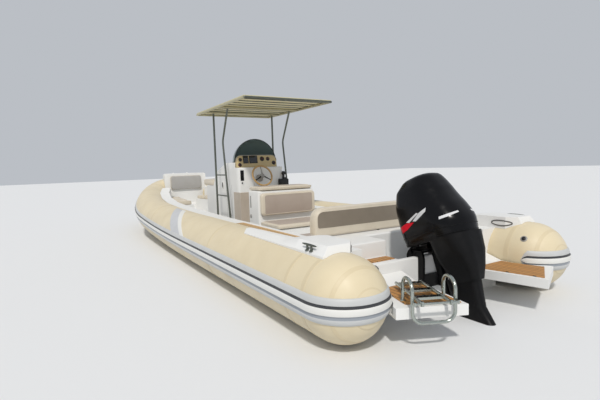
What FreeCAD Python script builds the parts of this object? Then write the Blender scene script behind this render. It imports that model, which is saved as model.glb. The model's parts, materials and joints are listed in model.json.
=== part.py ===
"""Rigid inflatable boat with a stand-up console, sun canopy and one large outboard engine.

Frame: +X forward, +Y to port, +Z up, millimetres.
The origin is on the centreline at the waterline, below the aft edge of the swim platforms.
"""
import math
import os
import re

import FreeCAD
import Part
import Sketcher

V = FreeCAD.Vector

# name, millimetres or degrees, what it is
SIZES = (
    ("tube_radius", 320, "buoyancy tube, straight part"),
    ("tube_bow_radius", 305, "buoyancy tube at the stem"),
    ("tube_side", 1160, "tube centreline from the middle of the boat"),
    ("tube_height", 340, "tube centreline above the waterline, aft"),
    ("tube_bow_height", 785, "tube centreline above the waterline at the stem"),
    ("tube_end", 540, "start of the straight tube, centre of its end dome"),
    ("tube_bend", 6300, "where the tube starts to turn in"),
    ("tube_bow", 9300, "tube centreline at the stem"),
    ("tube_rise", 3600, "where the tube starts to rise"),
    ("seat_gap", 0.3, "clearance between pieces that seat on each other"),
    ("strake_depth", 20, "rub strake, how far it stands off the tube"),
    ("strake_half", 92, "rub strake, half its height"),
    ("valve_radius", 28, "inflation valve"),
    ("transom_aft", 800, "aft face of the transom"),
    ("transom_thick", 60, "transom at the engine"),
    ("transom_top", 450, "top of the transom"),
    ("sole_height", 220, "cockpit sole above the waterline"),
    ("sole_thick", 20, "cockpit sole"),
    ("coaming_drop", 60, "coaming top below the top of the tube"),
    ("coaming_wall", 70, "coaming wall, from the tube's inner edge"),
    ("liner_front", 8300, "front end of the cockpit"),
    ("locker_aft", 1000, "aft face of the stern locker"),
    ("locker_front", 1500, "front face of the stern locker"),
    ("locker_top", 600, "stern locker top"),
    ("locker_half", 765, "stern locker, half its width"),
    ("well_half", 320, "engine well, half its width"),
    ("well_front", 1300, "engine well, front wall"),
    ("well_floor", 300, "engine well, floor"),
    ("bench_front", 2050, "stern bench, front of its seat"),
    ("bench_height", 470, "stern bench, top of its base"),
    ("cushion_thick", 85, "bench and seat cushions"),
    ("backrest_overhang", 40, "stern backrest, how far it stands aft of the locker's front"),
    ("backrest_thick", 100, "stern backrest"),
    ("backrest_half", 800, "stern backrest, half its width"),
    ("backrest_low", 625, "stern backrest, lower edge"),
    ("backrest_top", 885, "stern backrest, top edge"),
    ("backrest_corner", 130, "stern backrest, rounding of its upper corners"),
    ("platform_top", 310, "swim platform, top"),
    ("platform_thick", 80, "swim platform, thickness"),
    ("platform_front", 650, "swim platform, front of the teak"),
    ("platform_sweep", 216, "swim platform, how far its aft edge runs forward at the outside"),
    ("platform_inner_aft", 495, "swim platform, inner corner aft"),
    ("platform_inner_front", 340, "swim platform, inner corner at the front"),
    ("platform_outer_aft", 966, "swim platform, outer corner aft"),
    ("platform_outer_front", 825, "swim platform, outer corner at the front"),
    ("ramp_top", 360, "top of the ramp between platform and transom"),
    ("teak_thick", 8, "teak pads"),
    ("teak_margin", 45, "white border round the platform's teak"),
    ("quarter_aft", 560, "quarter moulding, aft end"),
    ("quarter_front", 2150, "quarter moulding, front tip"),
    ("quarter_height", 715, "quarter moulding, top at its aft end"),
    ("quarter_tip_height", 672, "quarter moulding, top at its tip"),
    ("quarter_inner", 967, "quarter moulding, inner edge"),
    ("quarter_outer", 1300, "quarter moulding, outer edge"),
    ("coaming_teak_aft", 1470, "coaming teak, aft end"),
    ("coaming_teak_length", 1530, "coaming teak, length"),
    ("coaming_teak_wide", 108, "coaming teak, width"),
    ("cleat_place", 780, "cleats, from the aft end"),
    ("cleat_length", 190, "cleat horns, end to end"),
    ("cleat_height", 55, "cleat horns above the moulding"),
    ("helm_aft", 3400, "leaning post, aft face"),
    ("helm_deep", 340, "leaning post, fore and aft"),
    ("helm_half", 450, "leaning post, half its width"),
    ("helm_height", 960, "leaning post, top of its base"),
    ("helm_cushion", 80, "leaning post, cushion on top"),
    ("back_pad_half", 385, "leaning post, back pad half width"),
    ("back_pad_low", 615, "leaning post, back pad lower edge"),
    ("back_pad_top", 930, "leaning post, back pad top edge"),
    ("back_pad_thick", 60, "leaning post, back pad"),
    ("jump_seat_aft", 2850, "aft-facing seat, aft edge"),
    ("jump_seat_height", 490, "aft-facing seat, top of its base"),
    ("console_aft", 4200, "console, aft face"),
    ("console_half", 370, "console, half its width"),
    ("console_front", 5780, "console, front face"),
    ("console_wall", 12, "console wall"),
    ("console_desk", 1275, "console, top of its aft face"),
    ("console_top", 1370, "console, top under the windscreen"),
    ("console_seat", 980, "console, front seat height"),
    ("dash_half", 355, "dash pod, half its width"),
    ("dash_deep", 180, "dash pod, fore and aft"),
    ("dash_top", 1480, "dash pod, top"),
    ("dash_corner", 150, "dash pod, rounding of its upper corners"),
    ("screen_radius", 368, "windscreen dome, outside"),
    ("screen_thick", 6, "windscreen"),
    ("door_half", 220, "console door, half its width"),
    ("door_low", 300, "console door, lower edge"),
    ("door_top", 900, "console door, upper edge"),
    ("door_gap", 6, "gap round doors and lids"),
    ("wheel_radius", 160, "steering wheel, centre of its rim"),
    ("wheel_rim", 14, "steering wheel rim, radius of its section"),
    ("wheel_side", 60, "steering wheel, from the middle of the boat"),
    ("wheel_place", 4050, "steering wheel hub, from the aft end"),
    ("wheel_height", 1155, "steering wheel hub above the waterline"),
    ("wheel_rake", 22, "steering wheel, rake of its axis, degrees"),
    ("post_side", 530, "canopy posts, from the middle of the boat"),
    ("post_radius", 20, "canopy posts"),
    ("post_front", 4800, "canopy front posts"),
    ("post_foot", 4210, "canopy aft posts, foot"),
    ("post_knee", 4440, "canopy aft posts, knee"),
    ("post_knee_height", 1700, "canopy aft posts, knee height"),
    ("post_head", 4180, "canopy aft posts, head"),
    ("rung_low", 855, "lower rung between the posts"),
    ("rung_high", 1180, "upper rung between the posts"),
    ("canopy_height", 2190, "canopy, edge tube centre"),
    ("canopy_aft", 3200, "canopy, aft edge"),
    ("canopy_length", 2000, "canopy, fore and aft"),
    ("canopy_half", 690, "canopy, half its width"),
    ("canopy_tube", 17, "canopy edge tube, radius"),
    ("slat_count", 10, "canopy slats"),
    ("slat_thick", 12, "canopy slats"),
    ("slat_slot", 14, "slot between canopy slats"),
    ("bow_locker_aft", 8450, "bow locker, aft face"),
    ("bow_locker_top", 1190, "bow locker, top"),
    ("bow_locker_half", 500, "bow locker, half its width aft"),
    ("bow_lid_length", 380, "bow locker lid, fore and aft"),
    ("bow_lid_half", 250, "bow locker lid, half its width"),
    ("bow_lid_thick", 25, "bow locker lid"),
    ("bow_well_deep", 245, "bow locker, depth of its space under the top"),
    ("bow_seat_aft", 6700, "bow seats, aft end"),
    ("bow_seat_height", 560, "bow seats, top of their bases"),
    ("bow_seat_wide", 400, "bow side seats"),
    ("ladder_inner", 120, "ladder guard, inner hoop from the platform's inner corner"),
    ("ladder_outer", 420, "ladder guard, outer hoop from the platform's inner corner"),
    ("ladder_reach", 135, "ladder guard, its feet inside the platform's aft edge"),
    ("ladder_aft", -45, "ladder guard, its aft legs outside the platform's aft edge"),
    ("ladder_top", 500, "ladder guard, top of the hoops"),
    ("ladder_low", 215, "ladder guard, bar below the platform"),
    ("ladder_tube", 12.5, "ladder tube radius"),
    ("ladder_pivot", -90, "ladder pivot, outside the platform's aft edge"),
    ("ladder_pivot_height", 362, "ladder pivot above the waterline"),
    ("ladder_length", 500, "folding ladder"),
    ("ladder_half", 100, "folding ladder, half its width"),
    ("ladder_treads", 3, "folding ladder treads"),
    ("tilt_place", 880, "engine tilt pin, from the aft end"),
    ("tilt_height", 480, "engine tilt pin above the waterline"),
    ("tilt_pin", 20, "engine tilt pin radius"),
    ("engine_tilt", 20, "engine tilt as stored, degrees"),
    ("swivel_back", 155, "steering axis behind the tilt pin"),
    ("swivel_radius", 40, "steering tube"),
    ("swivel_low", 420, "steering tube, lower end below the tilt pin"),
    ("clamp_inner", 115, "clamp bracket, inside of its arms"),
    ("clamp_plate", 25, "clamp bracket arms"),
    ("cowl_wall", 9, "engine cover shell"),
    ("cowl_low", 60, "engine cover lower edge above the tilt pin"),
    ("leg_plate", 820, "anti-ventilation plate below the tilt pin"),
    ("gear_axis", 1045, "propeller axis below the tilt pin"),
    ("gear_radius", 58, "gearcase bullet"),
    ("skeg_low", 1200, "skeg tip below the tilt pin"),
    ("prop_radius", 190, "propeller"),
    ("prop_hub", 52, "propeller hub"),
    ("blade_count", 3, "propeller blades"),
)

TUBE_RISE_POWER = 2.5
TUBE_PLAN_POWER = 1.1
TURN_STATIONS = 9
BOW_CHAMBER_STATION = 4
STRAKE_WRAP = 165


def make_sheet(doc):
    """Spreadsheet with one row for each driving dimension."""
    sheet = doc.addObject("Spreadsheet::Sheet", "sizes")
    for row, (name, value, note) in enumerate(SIZES, start=1):
        sheet.set(f"A{row}", name)
        sheet.set(f"B{row}", str(value))
        sheet.set(f"C{row}", note)
        sheet.setAlias(f"B{row}", name)
    doc.recompute()
    return sheet


doc = FreeCAD.newDocument("inflatable_boat")
sheet = make_sheet(doc)
NAMES = {row[0] for row in SIZES}
probe = doc.addObject("App::FeaturePython", "probe")
probe.addProperty("App::PropertyFloat", "value")
PARTS = []


class Sizes:
    """The sheet's values by name."""

    def __getattr__(self, name):
        return float(sheet.get(name))


s = Sizes()


def cell(text):
    """Expression text in which each size's name points to the sheet."""
    return re.sub(r"[a-z_]+", lambda m: "sizes." + m[0] if m[0] in NAMES else m[0], text)


def evaluate(text):
    """Number that an expression of the sheet gives."""
    probe.setExpression("value", cell(text))
    probe.recompute()
    return probe.value


def keep(obj, label):
    """Name an object as a piece of the boat."""
    obj.Label = label
    PARTS.append(obj)
    return obj


def feature(label, shape):
    """Piece whose shape is worked out from the sheet's values."""
    obj = doc.addObject("Part::Feature", label)
    obj.Shape = shape
    return keep(obj, label)


def box(name, low, high):
    """Part::Box between two corners given as expressions."""
    obj = doc.addObject("Part::Box", name)
    for prop, a, b in zip(("Length", "Width", "Height"), low, high):
        obj.setExpression(prop, cell(f"({b}) - ({a})"))
    for axis, a in zip("xyz", low):
        obj.setExpression(f"Placement.Base.{axis}", cell(a))
    return obj


def cylinder(name, radius, height, base, axis="z"):
    """Part::Cylinder along x, y or z; radius, height and base are expressions."""
    obj = doc.addObject("Part::Cylinder", name)
    obj.setExpression("Radius", cell(radius))
    obj.setExpression("Height", cell(height))
    turn = {"x": FreeCAD.Rotation(V(0, 1, 0), 90), "y": FreeCAD.Rotation(V(1, 0, 0), -90),
            "z": FreeCAD.Rotation()}[axis]
    obj.Placement = FreeCAD.Placement(V(), turn)
    for letter, text in zip("xyz", base):
        obj.setExpression(f"Placement.Base.{letter}", cell(text))
    return obj


def cut(name, base, tool):
    """Part::Cut of two objects."""
    obj = doc.addObject("Part::Cut", name)
    obj.Base = base
    obj.Tool = tool
    return obj


def fuse(name, objects):
    """Part::MultiFuse of objects."""
    obj = doc.addObject("Part::MultiFuse", name)
    obj.Shapes = objects
    return obj


def common(name, objects):
    """Part::MultiCommon of objects."""
    obj = doc.addObject("Part::MultiCommon", name)
    obj.Shapes = objects
    return obj


def pad(name, plane, corners, length, start="0", symmetric=False):
    """PartDesign body: a closed sketch of lines, each corner bound to the sheet, padded.

    plane is XY, XZ or YZ and corners are pairs of expressions on it. The pad starts at
    the offset start and runs along +Z, -Y or +X, or both ways when it is symmetric.
    """
    body = doc.addObject("PartDesign::Body", name)
    sketch = body.newObject("Sketcher::SketchObject", name + "_sketch")
    origin = next(o for o in body.Origin.OriginFeatures if o.Role == plane + "_Plane")
    sketch.AttachmentSupport = (origin, [""])
    sketch.MapMode = "FlatFace"
    sketch.setExpression("AttachmentOffset.Base.z", cell(start))
    points = [V(evaluate(a), evaluate(b), 0) for a, b in corners]
    count = len(points)
    for index in range(count):
        sketch.addGeometry(Part.LineSegment(points[index], points[(index + 1) % count]), False)
    for index in range(count):
        sketch.addConstraint(Sketcher.Constraint("Coincident", index, 2, (index + 1) % count, 1))
    for index, (a, b) in enumerate(corners):
        for kind, text, value in (("DistanceX", a, points[index].x), ("DistanceY", b, points[index].y)):
            number = sketch.addConstraint(Sketcher.Constraint(kind, -1, 1, index, 1, value))
            sketch.setExpression(f"Constraints[{number}]", cell(text))
    block = body.newObject("PartDesign::Pad", name + "_pad")
    block.Profile = sketch
    block.setExpression("Length", cell(length))
    if symmetric:
        block.Midplane = True
    return body


def mirrored(name, source):
    """Copy of an object on the other side of the boat."""
    obj = doc.addObject("Part::Mirroring", name)
    obj.Source = source
    obj.Base = V(0, 0, 0)
    obj.Normal = V(0, 1, 0)
    return obj


def pair(label, source):
    """Port piece and its starboard mirror."""
    keep(source, "port_" + label)
    keep(mirrored("starboard_" + label, source), "starboard_" + label)


def place_along(x):
    """How far the tube has risen at x, from 0 to 1."""
    return max(0.0, min(1.0, (x - s.tube_rise) / (s.tube_bow - s.tube_rise)))


def tube_at(x, y):
    """Centre and radius of the tube at a plan position."""
    share = place_along(x)
    z = s.tube_height + (s.tube_bow_height - s.tube_height) * share ** TUBE_RISE_POWER
    return V(x, y, z), s.tube_radius + (s.tube_bow_radius - s.tube_radius) * share


def tube_stations():
    """Centres, radii and directions of the port tube, from its aft end to the stem."""
    runs = [s.tube_end, s.tube_rise]
    steps = 3
    runs += [s.tube_rise + (s.tube_bend - s.tube_rise) * n / steps for n in range(1, steps)]
    plan = [(x, s.tube_side) for x in runs]
    for n in range(TURN_STATIONS + 1):
        turn = math.radians(90 * n / TURN_STATIONS)
        x = s.tube_bend + (s.tube_bow - s.tube_bend) * math.sin(turn) ** TUBE_PLAN_POWER
        plan.append((x, s.tube_side * max(0.0, math.cos(turn)) ** TUBE_PLAN_POWER))
    return [tube_at(x, y) for x, y in plan]


def whole_path():
    """Stations of the whole tube from port aft round the stem to starboard aft."""
    port = tube_stations()
    return port + [(V(c.x, -c.y, c.z), r) for c, r in reversed(port[:-1])]


def frames(path):
    """Outboard side, up and forward directions at each station of the path."""
    out = []
    for index in range(len(path)):
        before = path[max(index - 1, 0)][0]
        after = path[min(index + 1, len(path) - 1)][0]
        ahead = (after - before).normalize()
        side = V(0, 0, 1).cross(ahead).normalize()
        out.append((side, ahead.cross(side), ahead))
    return out


PATH = whole_path()
FRAMES = frames(PATH)
STEM = len(PATH) // 2


def ring(index, grow=0.0):
    """Circle of the tube at a station, grown by a clearance."""
    centre, radius = PATH[index]
    side, up, ahead = FRAMES[index]
    circle = Part.Circle(V(0, 0, 0), V(0, 0, 1), radius + grow)
    wire = Part.Wire(circle.toShape())
    wire.Placement = FreeCAD.Placement(centre, FreeCAD.Rotation(side, up, ahead, "ZXY"))
    return wire


def tube_run(first, last, grow=0.0):
    """Tube between two stations, made of straight panels."""
    return Part.makeLoft([ring(n, grow) for n in range(first, last + 1)], True, True)


def end_dome(sign, grow=0.0):
    """Round end of a tube."""
    centre, radius = PATH[0]
    ball = Part.makeSphere(radius + grow, V(centre.x, sign * centre.y, centre.z))
    reach = 2 * radius
    keepout = Part.makeBox(reach, 2 * reach, 2 * reach, V(centre.x - reach, sign * centre.y - reach,
                                                          centre.z - reach))
    return ball.common(keepout)


def valve():
    """Inflation valve on the inner shoulder of the port end dome."""
    centre, radius = PATH[0]
    out = V(-0.15, -0.72, 0.68).normalize()
    disc = Part.makeCylinder(s.valve_radius, 16, centre + out * (radius - 6), out)
    return disc.fuse(Part.makeCylinder(s.valve_radius * 0.6, 22, centre + out * (radius - 6), out))


def tube_cutter():
    """Whole tube with its seat gap, to cut seats in what lies against it."""
    run = tube_run(0, len(PATH) - 1, s.seat_gap)
    return run.fuse([end_dome(1, s.seat_gap), end_dome(-1, s.seat_gap)])


def make_tubes():
    """Three air chambers and two round ends."""
    first = STEM - BOW_CHAMBER_STATION
    last = STEM + BOW_CHAMBER_STATION
    feature("port_tube", tube_run(0, first))
    feature("bow_tube", tube_run(first, last))
    feature("starboard_tube", tube_run(last, len(PATH) - 1))
    cap = end_dome(1).fuse(valve())
    feature("port_end_cap", cap)
    feature("starboard_end_cap", cap.mirror(V(), V(0, 1, 0)))


# name of the corner, how far it stands off the tube as a share, its height as a share
STRAKE_PROFILE = (
    ("upper edge", 0.0, 1.0),
    ("upper band", 0.5, 0.86),
    ("above the groove", 0.5, 0.22),
    ("groove top", 0.15, 0.12),
    ("groove bottom", 0.15, 0.0),
    ("lower band", 1.0, -0.1),
    ("lower band foot", 1.0, -0.6),
    ("lower edge", 0.0, -1.0),
)


def strake_outline(radius):
    """Points of the strake across the tube, as distance outboard and height."""
    out = []
    for _, off, high in STRAKE_PROFILE:
        height = high * s.strake_half
        skin = math.sqrt((radius + s.seat_gap) ** 2 - height ** 2)
        out.append((skin + off * s.strake_depth, height))
    return out


def strake_wire(index):
    """Closed outline of the strake at a station."""
    centre, radius = PATH[index]
    side, up, _ = FRAMES[index]
    points = [centre + side * out + up * high for out, high in strake_outline(radius)]
    edges = [Part.LineSegment(a, b).toShape() for a, b in zip(points, points[1:])]
    back = centre + side * (radius + s.seat_gap)
    edges.append(Part.Arc(points[-1], back, points[0]).toShape())
    return Part.Wire(edges)


def strake_run(first, last):
    """Strake between two stations."""
    return Part.makeLoft([strake_wire(n) for n in range(first, last + 1)], True, True)


def strake_end(sign):
    """Strake round the end dome, turned about the dome's upright axis."""
    index = 0 if sign > 0 else len(PATH) - 1
    face = Part.Face(strake_wire(index))
    return face.revolve(PATH[index][0], V(0, 0, sign), STRAKE_WRAP)


def make_strakes():
    """Rub strakes: one for each chamber."""
    first = STEM - BOW_CHAMBER_STATION
    last = STEM + BOW_CHAMBER_STATION
    feature("port_rub_strake", strake_run(0, first).fuse(strake_end(1)).removeSplitter())
    feature("bow_rub_strake", strake_run(first, last))
    feature("starboard_rub_strake", strake_run(last, len(PATH) - 1).fuse(strake_end(-1)).removeSplitter())


def tube_x(x):
    """Tube centre, radius and plan slope at x, by straight panels between stations."""
    port = PATH[:STEM + 1]
    for (a, ra), (b, rb) in zip(port, port[1:]):
        if a.x <= x <= b.x:
            share = (x - a.x) / (b.x - a.x)
            slope = math.atan2(a.y - b.y, b.x - a.x)
            return a + (b - a) * share, ra + (rb - ra) * share, slope
    return port[0][0], port[0][1], 0.0


def inner_edge(x):
    """Half the width between the tubes at x."""
    centre, radius, slope = tube_x(x)
    return centre.y - radius / math.cos(slope)


def coaming_top(x):
    """Height of the coaming at x."""
    centre, radius, _ = tube_x(x)
    return centre.z + radius - s.coaming_drop


def outline(x, half):
    """Closed wire across the boat at x from the points of its port half, centreline first and last."""
    port = [V(x, y, z) for y, z in half]
    other = [V(x, -y, z) for y, z in reversed(half) if y > 0]
    return Part.makePolygon(port + other + [port[0]])


# x, keel height, chine half width, chine height, edge half width, edge height
HULL_STATIONS = (
    (800, -420, 985, -20, 985, 200),
    (4500, -420, 985, -10, 985, 220),
    (6300, -380, 950, 40, 1040, 300),
    (7400, -270, 860, 120, 1000, 340),
    (8300, -60, 590, 290, 760, 450),
    (9000, 300, 240, 450, 400, 600),
    (9290, 560, 60, 590, 120, 700),
)
RAIL_SHARES = (0.36, 0.68)
RAIL_WIDTH = 38
RAIL_DEPTH = 16


def hull_top(x):
    """Height of the hull's deck edge at x."""
    for (a, *_, low), (b, *_, high) in zip(HULL_STATIONS, HULL_STATIONS[1:]):
        if a <= x <= b:
            return low + (high - low) * (x - a) / (b - a)
    return HULL_STATIONS[-1][-1]


def make_hull(cutter):
    """Deep-V hull, solid below the sole, seated between the tubes."""
    wires = []
    for x, keel, chine, chine_z, edge, edge_z in HULL_STATIONS:
        wires.append(outline(x, [(0, keel), (chine, chine_z), (edge, edge_z), (0, edge_z)]))
    body = Part.makeLoft(wires, True, True).fuse([spray_rail(share) for share in RAIL_SHARES])
    body = body.cut(cutter).cut(liner_block(s.seat_gap))
    body = max(body.Solids, key=lambda solid: solid.Volume)
    feature("hull", body.removeSplitter())


def spray_rail(share):
    """Two wedge rails along the bottom, at a share of the way from keel to chine."""
    rails = []
    for sign in (1, -1):
        wires = []
        for x, keel, chine, chine_z, *_ in HULL_STATIONS[:5]:
            rise = (chine_z - keel) / chine
            y = share * chine
            z = keel + rise * y
            points = [(y, z + 6), (y + RAIL_WIDTH, z + rise * RAIL_WIDTH + 6),
                      (y + RAIL_WIDTH, z - RAIL_DEPTH + rise * RAIL_WIDTH)]
            wires.append(Part.makePolygon([V(x, sign * a, b) for a, b in points + points[:1]]))
        rails.append(Part.makeLoft(wires, True, True))
    return rails[0].fuse(rails[1])


def liner_stations():
    """Places along the cockpit at which its section is drawn."""
    return [s.transom_aft, s.tube_rise, 5400, s.tube_bend, 7000, 7700, s.liner_front]


def cap_edge(x):
    """Half width of the coaming cap where it meets the tube."""
    centre, radius, slope = tube_x(x)
    return centre.y - math.sqrt(2 * radius * s.coaming_drop - s.coaming_drop ** 2) / math.cos(slope) - 8


def wall_inner(x):
    """Half width between the coaming walls at x."""
    stations = liner_stations()
    for a, b in zip(stations, stations[1:]):
        if a <= x <= b:
            share = (x - a) / (b - a)
            return inner_edge(a) * (1 - share) + inner_edge(b) * share - s.coaming_wall
    return inner_edge(s.liner_front) - s.coaming_wall


def liner_block(grow):
    """Space that the cockpit takes out of the hull, open above."""
    wires = []
    low = s.sole_height - s.sole_thick - grow
    for x in liner_stations():
        half = cap_edge(x) + grow
        wires.append(outline(x, [(0, low), (half, low), (half, coaming_top(x)), (0, coaming_top(x))]))
    return Part.makeLoft(wires, True, True)


def make_liner(cutter):
    """Cockpit sole with the coamings that lean on the tubes and the bow seat bases."""
    wires = []
    low = s.sole_height - s.sole_thick
    for x in liner_stations():
        inner = inner_edge(x) - s.coaming_wall
        cap = cap_edge(x)
        top = coaming_top(x)
        wires.append(outline(x, [(0, low), (cap, low), (cap, top), (inner, top),
                                 (inner, s.sole_height), (0, s.sole_height)]))
    body = Part.makeLoft(wires, True, True).cut(cutter)
    body = max(body.Solids, key=lambda solid: solid.Volume)
    seats = [bow_seat(sign, s.sole_height - 5, s.bow_seat_height, -12) for sign in (1, -1)]
    feature("cockpit_liner", body.fuse(seats).removeSplitter())


def make_stern():
    """Transom, engine well, stern locker and bench base in one moulding."""
    sill = "sole_height + seat_gap"
    block = pad("stern_profile", "XZ", [
        ("transom_aft", sill), ("transom_aft", "transom_top"), ("locker_aft", "transom_top"),
        ("locker_aft", "locker_top"), ("locker_front", "locker_top"), ("locker_front", "bench_height"),
        ("bench_front", "bench_height"), ("bench_front", sill)], "2 * locker_half", symmetric=True)
    well = box("engine_well", ("transom_aft + transom_thick", "-well_half", "well_floor"),
               ("well_front", "well_half", "locker_top + 50"))
    keep(cut("stern_cut", block, well), "stern_moulding")


def make_platforms(cutter):
    """Swim platforms each side of the engine, with their teak."""
    plan = [("0", "platform_inner_aft"), ("platform_sweep", "platform_outer_aft"),
            ("tube_end", "platform_outer_front + 20"), ("transom_aft - seat_gap", "platform_outer_front"),
            ("transom_aft - seat_gap", "platform_inner_front"), ("platform_front", "platform_inner_front")]
    deck = pad("platform_plan", "XY", plan, "platform_thick + ramp_top - platform_top",
               "platform_top - platform_thick")
    side = pad("platform_side", "XZ", [
        ("-10", "platform_top - platform_thick"), ("-10", "platform_top"), ("platform_front", "platform_top"),
        ("transom_aft", "ramp_top"), ("transom_aft", "platform_top - platform_thick")],
        "2 * platform_outer_aft + 100", symmetric=True)
    shape = common("platform_common", [deck, side])
    doc.recompute()
    notch = Part.makeCylinder(s.tube_radius + s.strake_depth + 5, 400,
                              V(s.tube_end, s.tube_side, s.tube_height - s.strake_half - 5))
    port = shape.Shape.cut(cutter).cut(notch)
    feature("port_swim_platform", port.removeSplitter())
    feature("starboard_swim_platform", port.mirror(V(), V(0, 1, 0)))
    rim = [("teak_margin", "platform_inner_aft + teak_margin / 2"),
           ("platform_sweep + teak_margin / 2", "platform_outer_aft - 2.4 * teak_margin"),
           ("tube_end - teak_margin", "platform_outer_front - teak_margin"),
           ("platform_front - teak_margin", "platform_outer_front - teak_margin"),
           ("platform_front - teak_margin", "platform_inner_front + teak_margin")]
    pair("platform_teak", pad("platform_teak", "XY", rim, "teak_thick", "platform_top + seat_gap"))


# x, top height, upper outboard edge from the middle, height of the outboard edge
QUARTER_STATIONS = (
    (500, 715, 1238, 640),
    (1000, 715, 1238, 640),
    (1250, 684, 1172, 644),
    (2200, 673, 1166, 640),
)


def make_quarters(cutter):
    """White mouldings over the tubes at the stern quarters."""
    plan = pad("quarter_plan", "XY", [
        ("quarter_aft", "quarter_outer - 60"), ("quarter_aft + 25", "quarter_outer"),
        ("quarter_front - 150", "quarter_outer - 20"), ("quarter_front", "quarter_outer - 110"),
        ("quarter_front - 60", "quarter_outer - 155"), ("quarter_aft + 690", "quarter_outer - 168"),
        ("quarter_aft + 560", "quarter_inner"), ("quarter_aft + 130", "quarter_inner"),
        ("quarter_aft", "quarter_inner + 110")], "200", "550")
    side = pad("quarter_side", "XZ", [
        ("quarter_aft - 20", "550"), ("quarter_aft + 45", "quarter_height + 5"),
        ("quarter_front", "quarter_height + 5"), ("quarter_front", "550")], "3000", symmetric=True)
    both = common("quarter_common", [plan, side])
    doc.recompute()
    wires = []
    for x, top, edge, outer in QUARTER_STATIONS:
        corners = [(s.quarter_inner - 20, 540), (s.quarter_inner - 20, top), (edge, top),
                   (s.quarter_outer + 5, outer), (s.quarter_outer + 5, 540)]
        wires.append(Part.makePolygon([V(x, y, z) for y, z in corners + corners[:1]]))
    port = both.Shape.common(Part.makeLoft(wires, True, True)).cut(cutter)
    port = max(port.Solids, key=lambda solid: solid.Volume)
    feature("port_quarter_moulding", port)
    feature("starboard_quarter_moulding", port.mirror(V(), V(0, 1, 0)))


def make_coaming_fittings():
    """Teak strips on the coaming caps."""
    top = "tube_height + tube_radius - coaming_drop + seat_gap"
    inner = "tube_side - tube_radius + 15"
    strip = box("coaming_teak", ("coaming_teak_aft", inner, top),
                ("coaming_teak_aft + coaming_teak_length", inner + " + coaming_teak_wide", top + " + teak_thick"))
    pair("coaming_teak", strip)


def make_cleats():
    """Cleats on the sloped outboard face of the quarter mouldings."""
    _, top, edge, outer = QUARTER_STATIONS[0]
    fall = V(0, s.quarter_outer + 5 - edge, outer - top)
    middle = V(s.cleat_place, edge, top) + fall * 0.5
    radius = 9
    high = s.cleat_height - radius
    shape = Part.makeCylinder(radius, s.cleat_length, V(-s.cleat_length / 2, 0, high), V(1, 0, 0))
    for x in (-35, 35):
        shape = shape.fuse(Part.makeCylinder(11, high, V(x, 0, 0)))
    shape = shape.fuse(Part.makeBox(120, 44, 6, V(-60, -22, 0))).removeSplitter()
    turn = FreeCAD.Rotation(V(0, 1, 0), fall)
    shape.Placement = FreeCAD.Placement(middle, turn).multiply(FreeCAD.Placement(V(0, 0, s.seat_gap), FreeCAD.Rotation()))
    feature("port_cleat", shape)
    feature("starboard_cleat", shape.mirror(V(), V(0, 1, 0)))


def slab(name, low, high, label):
    """Plain box piece."""
    return keep(box(name, low, high), label)


def make_stern_seat():
    """Seat cushion, backrest and its posts on the stern bench."""
    half = "locker_half - 10"
    slab("stern_cushion_box", ("locker_front + 10", "-(" + half + ")", "bench_height + seat_gap"),
         ("bench_front", half, "bench_height + cushion_thick"), "stern_seat_cushion")
    corner = "backrest_corner"
    pad_body = pad("backrest_pad", "YZ", [
        ("-backrest_half", "backrest_low"), ("-backrest_half", f"backrest_top - {corner}"),
        (f"-backrest_half + 0.29 * {corner}", f"backrest_top - 0.29 * {corner}"),
        (f"-backrest_half + {corner}", "backrest_top"), (f"backrest_half - {corner}", "backrest_top"),
        (f"backrest_half - 0.29 * {corner}", f"backrest_top - 0.29 * {corner}"),
        ("backrest_half", f"backrest_top - {corner}"), ("backrest_half", "backrest_low")],
        "backrest_thick", "locker_front - backrest_overhang")
    posts = [box(f"backrest_post_{n}", ("locker_front - backrest_overhang + 10", place, "locker_top + seat_gap"),
                 ("locker_front - 5", place + " + 30", "backrest_low + 5"))
             for n, place in enumerate(("-locker_half + 15", "-15", "locker_half - 45"))]
    keep(fuse("backrest_fuse", [pad_body] + posts), "stern_backrest")


def make_helm_seat():
    """Leaning post with its back pad and an aft-facing seat."""
    base = "sole_height + seat_gap"
    post = box("helm_box", ("helm_aft", "-helm_half", base), ("helm_aft + helm_deep", "helm_half", "helm_height"))
    seat = box("jump_seat_box", ("jump_seat_aft", "-helm_half", base),
               ("helm_aft + 1", "helm_half", "jump_seat_height"))
    keep(fuse("helm_fuse", [post, seat]), "leaning_post")
    slab("helm_pad", ("helm_aft - 20", "-helm_half + 10", "helm_height + seat_gap"),
         ("helm_aft + helm_deep + 30", "helm_half - 10", "helm_height + helm_cushion"),
         "leaning_post_cushion")
    slab("back_pad_box", ("helm_aft - back_pad_thick", "-back_pad_half", "back_pad_low"),
         ("helm_aft - seat_gap", "back_pad_half", "back_pad_top"), "leaning_post_back_pad")
    slab("jump_cushion_box", ("jump_seat_aft - 15", "-helm_half - 5", "jump_seat_height + seat_gap"),
         ("helm_aft - 5", "helm_half + 5", "jump_seat_height + cushion_thick"), "aft_facing_seat_cushion")


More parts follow.
